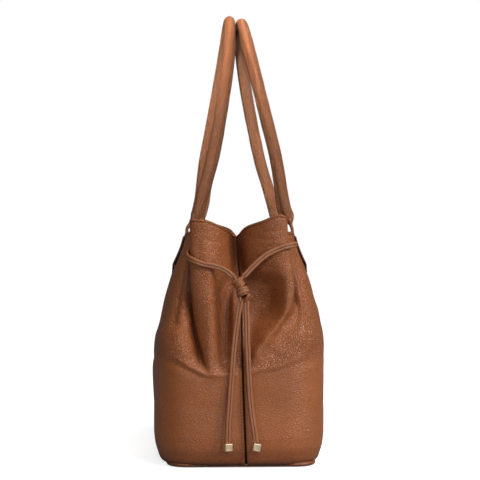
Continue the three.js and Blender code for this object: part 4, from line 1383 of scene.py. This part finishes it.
def make_zip_tape():
    across = np.linspace(-ZIP["half"], ZIP["half"], 60)
    up = np.linspace(ZIP["z"] - ZIP["tape"], ZIP["z"] + ZIP["tape"], 23)
    outer, inner = wall_sheet(1, across, up, ON_LINING, 0.6)
    place_sheet("zip_tape_cloth", (outer, inner), TAPE, "zip_tape")
    seams = [inner[2], inner[-3], inner[:, 1], inner[:, -2]]
    rows = [(seam, (-1.0, 0, 0)) for seam in seams]
    add_stitches("zip_tape_stitches", rows, THREAD, "bag", pitch=2.8, width=0.6)


def make_teeth():
    """Two interlocking rows of teeth along the tape's middle."""
    corners = np.array([(a, b, c) for a in (0, 1) for b in (-1, 1) for c in (-1, 1)], float)
    tooth = corners * [-1.0, ZIP["tooth_half"], ZIP["tooth_reach"]]
    box = [[0, 1, 3, 2], [4, 6, 7, 5], [0, 4, 5, 1], [2, 3, 7, 6], [0, 2, 6, 4], [1, 5, 7, 3]]
    teeth = []
    for k, y in enumerate(np.arange(-ZIP["chain"], ZIP["chain"], ZIP["pitch"] / 2)):
        z = ZIP["z"] + ZIP["offset"] * (1 if k % 2 else -1)
        x = inner_wall_x(1, y, ZIP["z"]) - ON_LINING - 0.55
        teeth.append((tooth + [x, y, z], box))
    add_piece("zip_teeth", joined(teeth), GOLD, ["zip_chain"], crisp=30)


make_backing()
make_pouch()
make_slip_pocket()
make_zip_tape()
make_teeth()


# ---------------------------------------------------------------- carried-over CAD nodes
def repaint(material, *names, edge=0.0):
    """Gives CAD nodes a material, and their edges a small bevel."""
    for name in names:
        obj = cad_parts[name]
        obj.data.materials.clear()
        obj.data.materials.append(material)
        if edge:
            soft = obj.modifiers.new("soft_edges", "BEVEL")
            soft.width = edge * MM
            soft.segments = 2
            soft.limit_method = "ANGLE"


def paint_carried():
    ends = [f"{end}_{side}" for end in ("right", "left") for side in ("front", "back")]
    repaint(BRASS, *[f"{e}_eyelet" for e in ends], edge=0.2)
    repaint(BOARD, "base_board")
    repaint(GOLD, "zip_slider", "zip_pull", "snap_socket", "snap_stud", edge=0.25)


paint_carried()


# ---------------------------------------------------------------- floor, light
# What the bag sees of the white floor and sky is dimmer than what the camera sees, as with black flags.
FLOOR = {"glow": 0.74, "bounce": 0.35, "half": 30000.0}
SKY = {"seen": 1.0, "light": 0.12}


def by_ray(tree, bounced, seen):
    """The output of a shader that is one thing to bounced light and another to the camera."""
    camera_ray = node(tree, "ShaderNodeLightPath").outputs["Is Camera Ray"]
    mix = node(tree, "ShaderNodeMixShader", Fac=camera_ray)
    connect(tree, mix.inputs[1], bounced)
    connect(tree, mix.inputs[2], seen)
    return mix.outputs["Shader"]


def make_floor():
    material, tree, place = new_material("floor_white")
    tone = ramp(tree, clouds(tree, place, 0.6), (0.0, grey(0.9)), (1.0, grey(0.92)))
    white = surface(tree, Base_Color=tone, Roughness=1.0, Specular_IOR_Level=0.0,
                    Emission_Color=(*grey(1), 1), Emission_Strength=FLOOR["glow"])
    dim = node(tree, "ShaderNodeBsdfDiffuse", Color=(*grey(FLOOR["bounce"]), 1))
    both = by_ray(tree, dim.outputs["BSDF"], white.outputs["BSDF"])
    fill(tree, tree.nodes["Material Output"], Surface=both)
    half = FLOOR["half"]
    corners = [(-half, -half, 0), (half, -half, 0), (half, half, 0), (-half, half, 0)]
    make_object("floor", corners, [[0, 1, 2, 3]], material)


def make_world():
    world = bpy.data.worlds.new("studio")
    world.use_nodes = True
    tree = world.node_tree
    tree.nodes.clear()
    dim, bright = (
        node(tree, "ShaderNodeBackground", Color=(*grey(1), 1), Strength=SKY[use]).outputs["Background"]
        for use in ("light", "seen")
    )
    node(tree, "ShaderNodeOutputWorld", Surface=by_ray(tree, dim, bright))
    bpy.context.scene.world = world


def add_light(kind, name, place, target, **settings):
    data = bpy.data.lights.new(name, kind)
    for setting, value in settings.items():
        setattr(data, setting, value)
    light = bpy.data.objects.new(name, data)
    bpy.context.scene.collection.objects.link(light)
    light.location = place
    light.rotation_euler = (Vector(target) - light.location).to_track_quat("-Z", "Y").to_euler()


def area_light(name, place, target, size, power, spread=180, tall=None):
    add_light("AREA", name, place, target, shape="ELLIPSE" if tall else "DISK", size=size,
              size_y=tall or size, energy=power, spread=math.radians(spread))


make_floor()
make_world()
add_light("SUN", "overhead", (0.5, -0.3, 2.0), (0, 0, 0), energy=0.7, angle=math.radians(30))
area_light("key", (0.95, -1.6, 1.5), (0, 0, 0.2), 0.8, 15)
area_light("top", (-0.28, -0.4, 0.86), (-0.01, 0, 0.46), 0.2, 0.42, 30)
area_light("side", (1.5, -1.0, 0.95), (0, 0, 0.2), 0.5, 18)
area_light("strip", (-0.1, -1.6, 0.8), (0, 0, 0.2), 0.15, 6.5, tall=0.9)
bpy.context.scene.view_settings.view_transform = "Standard"
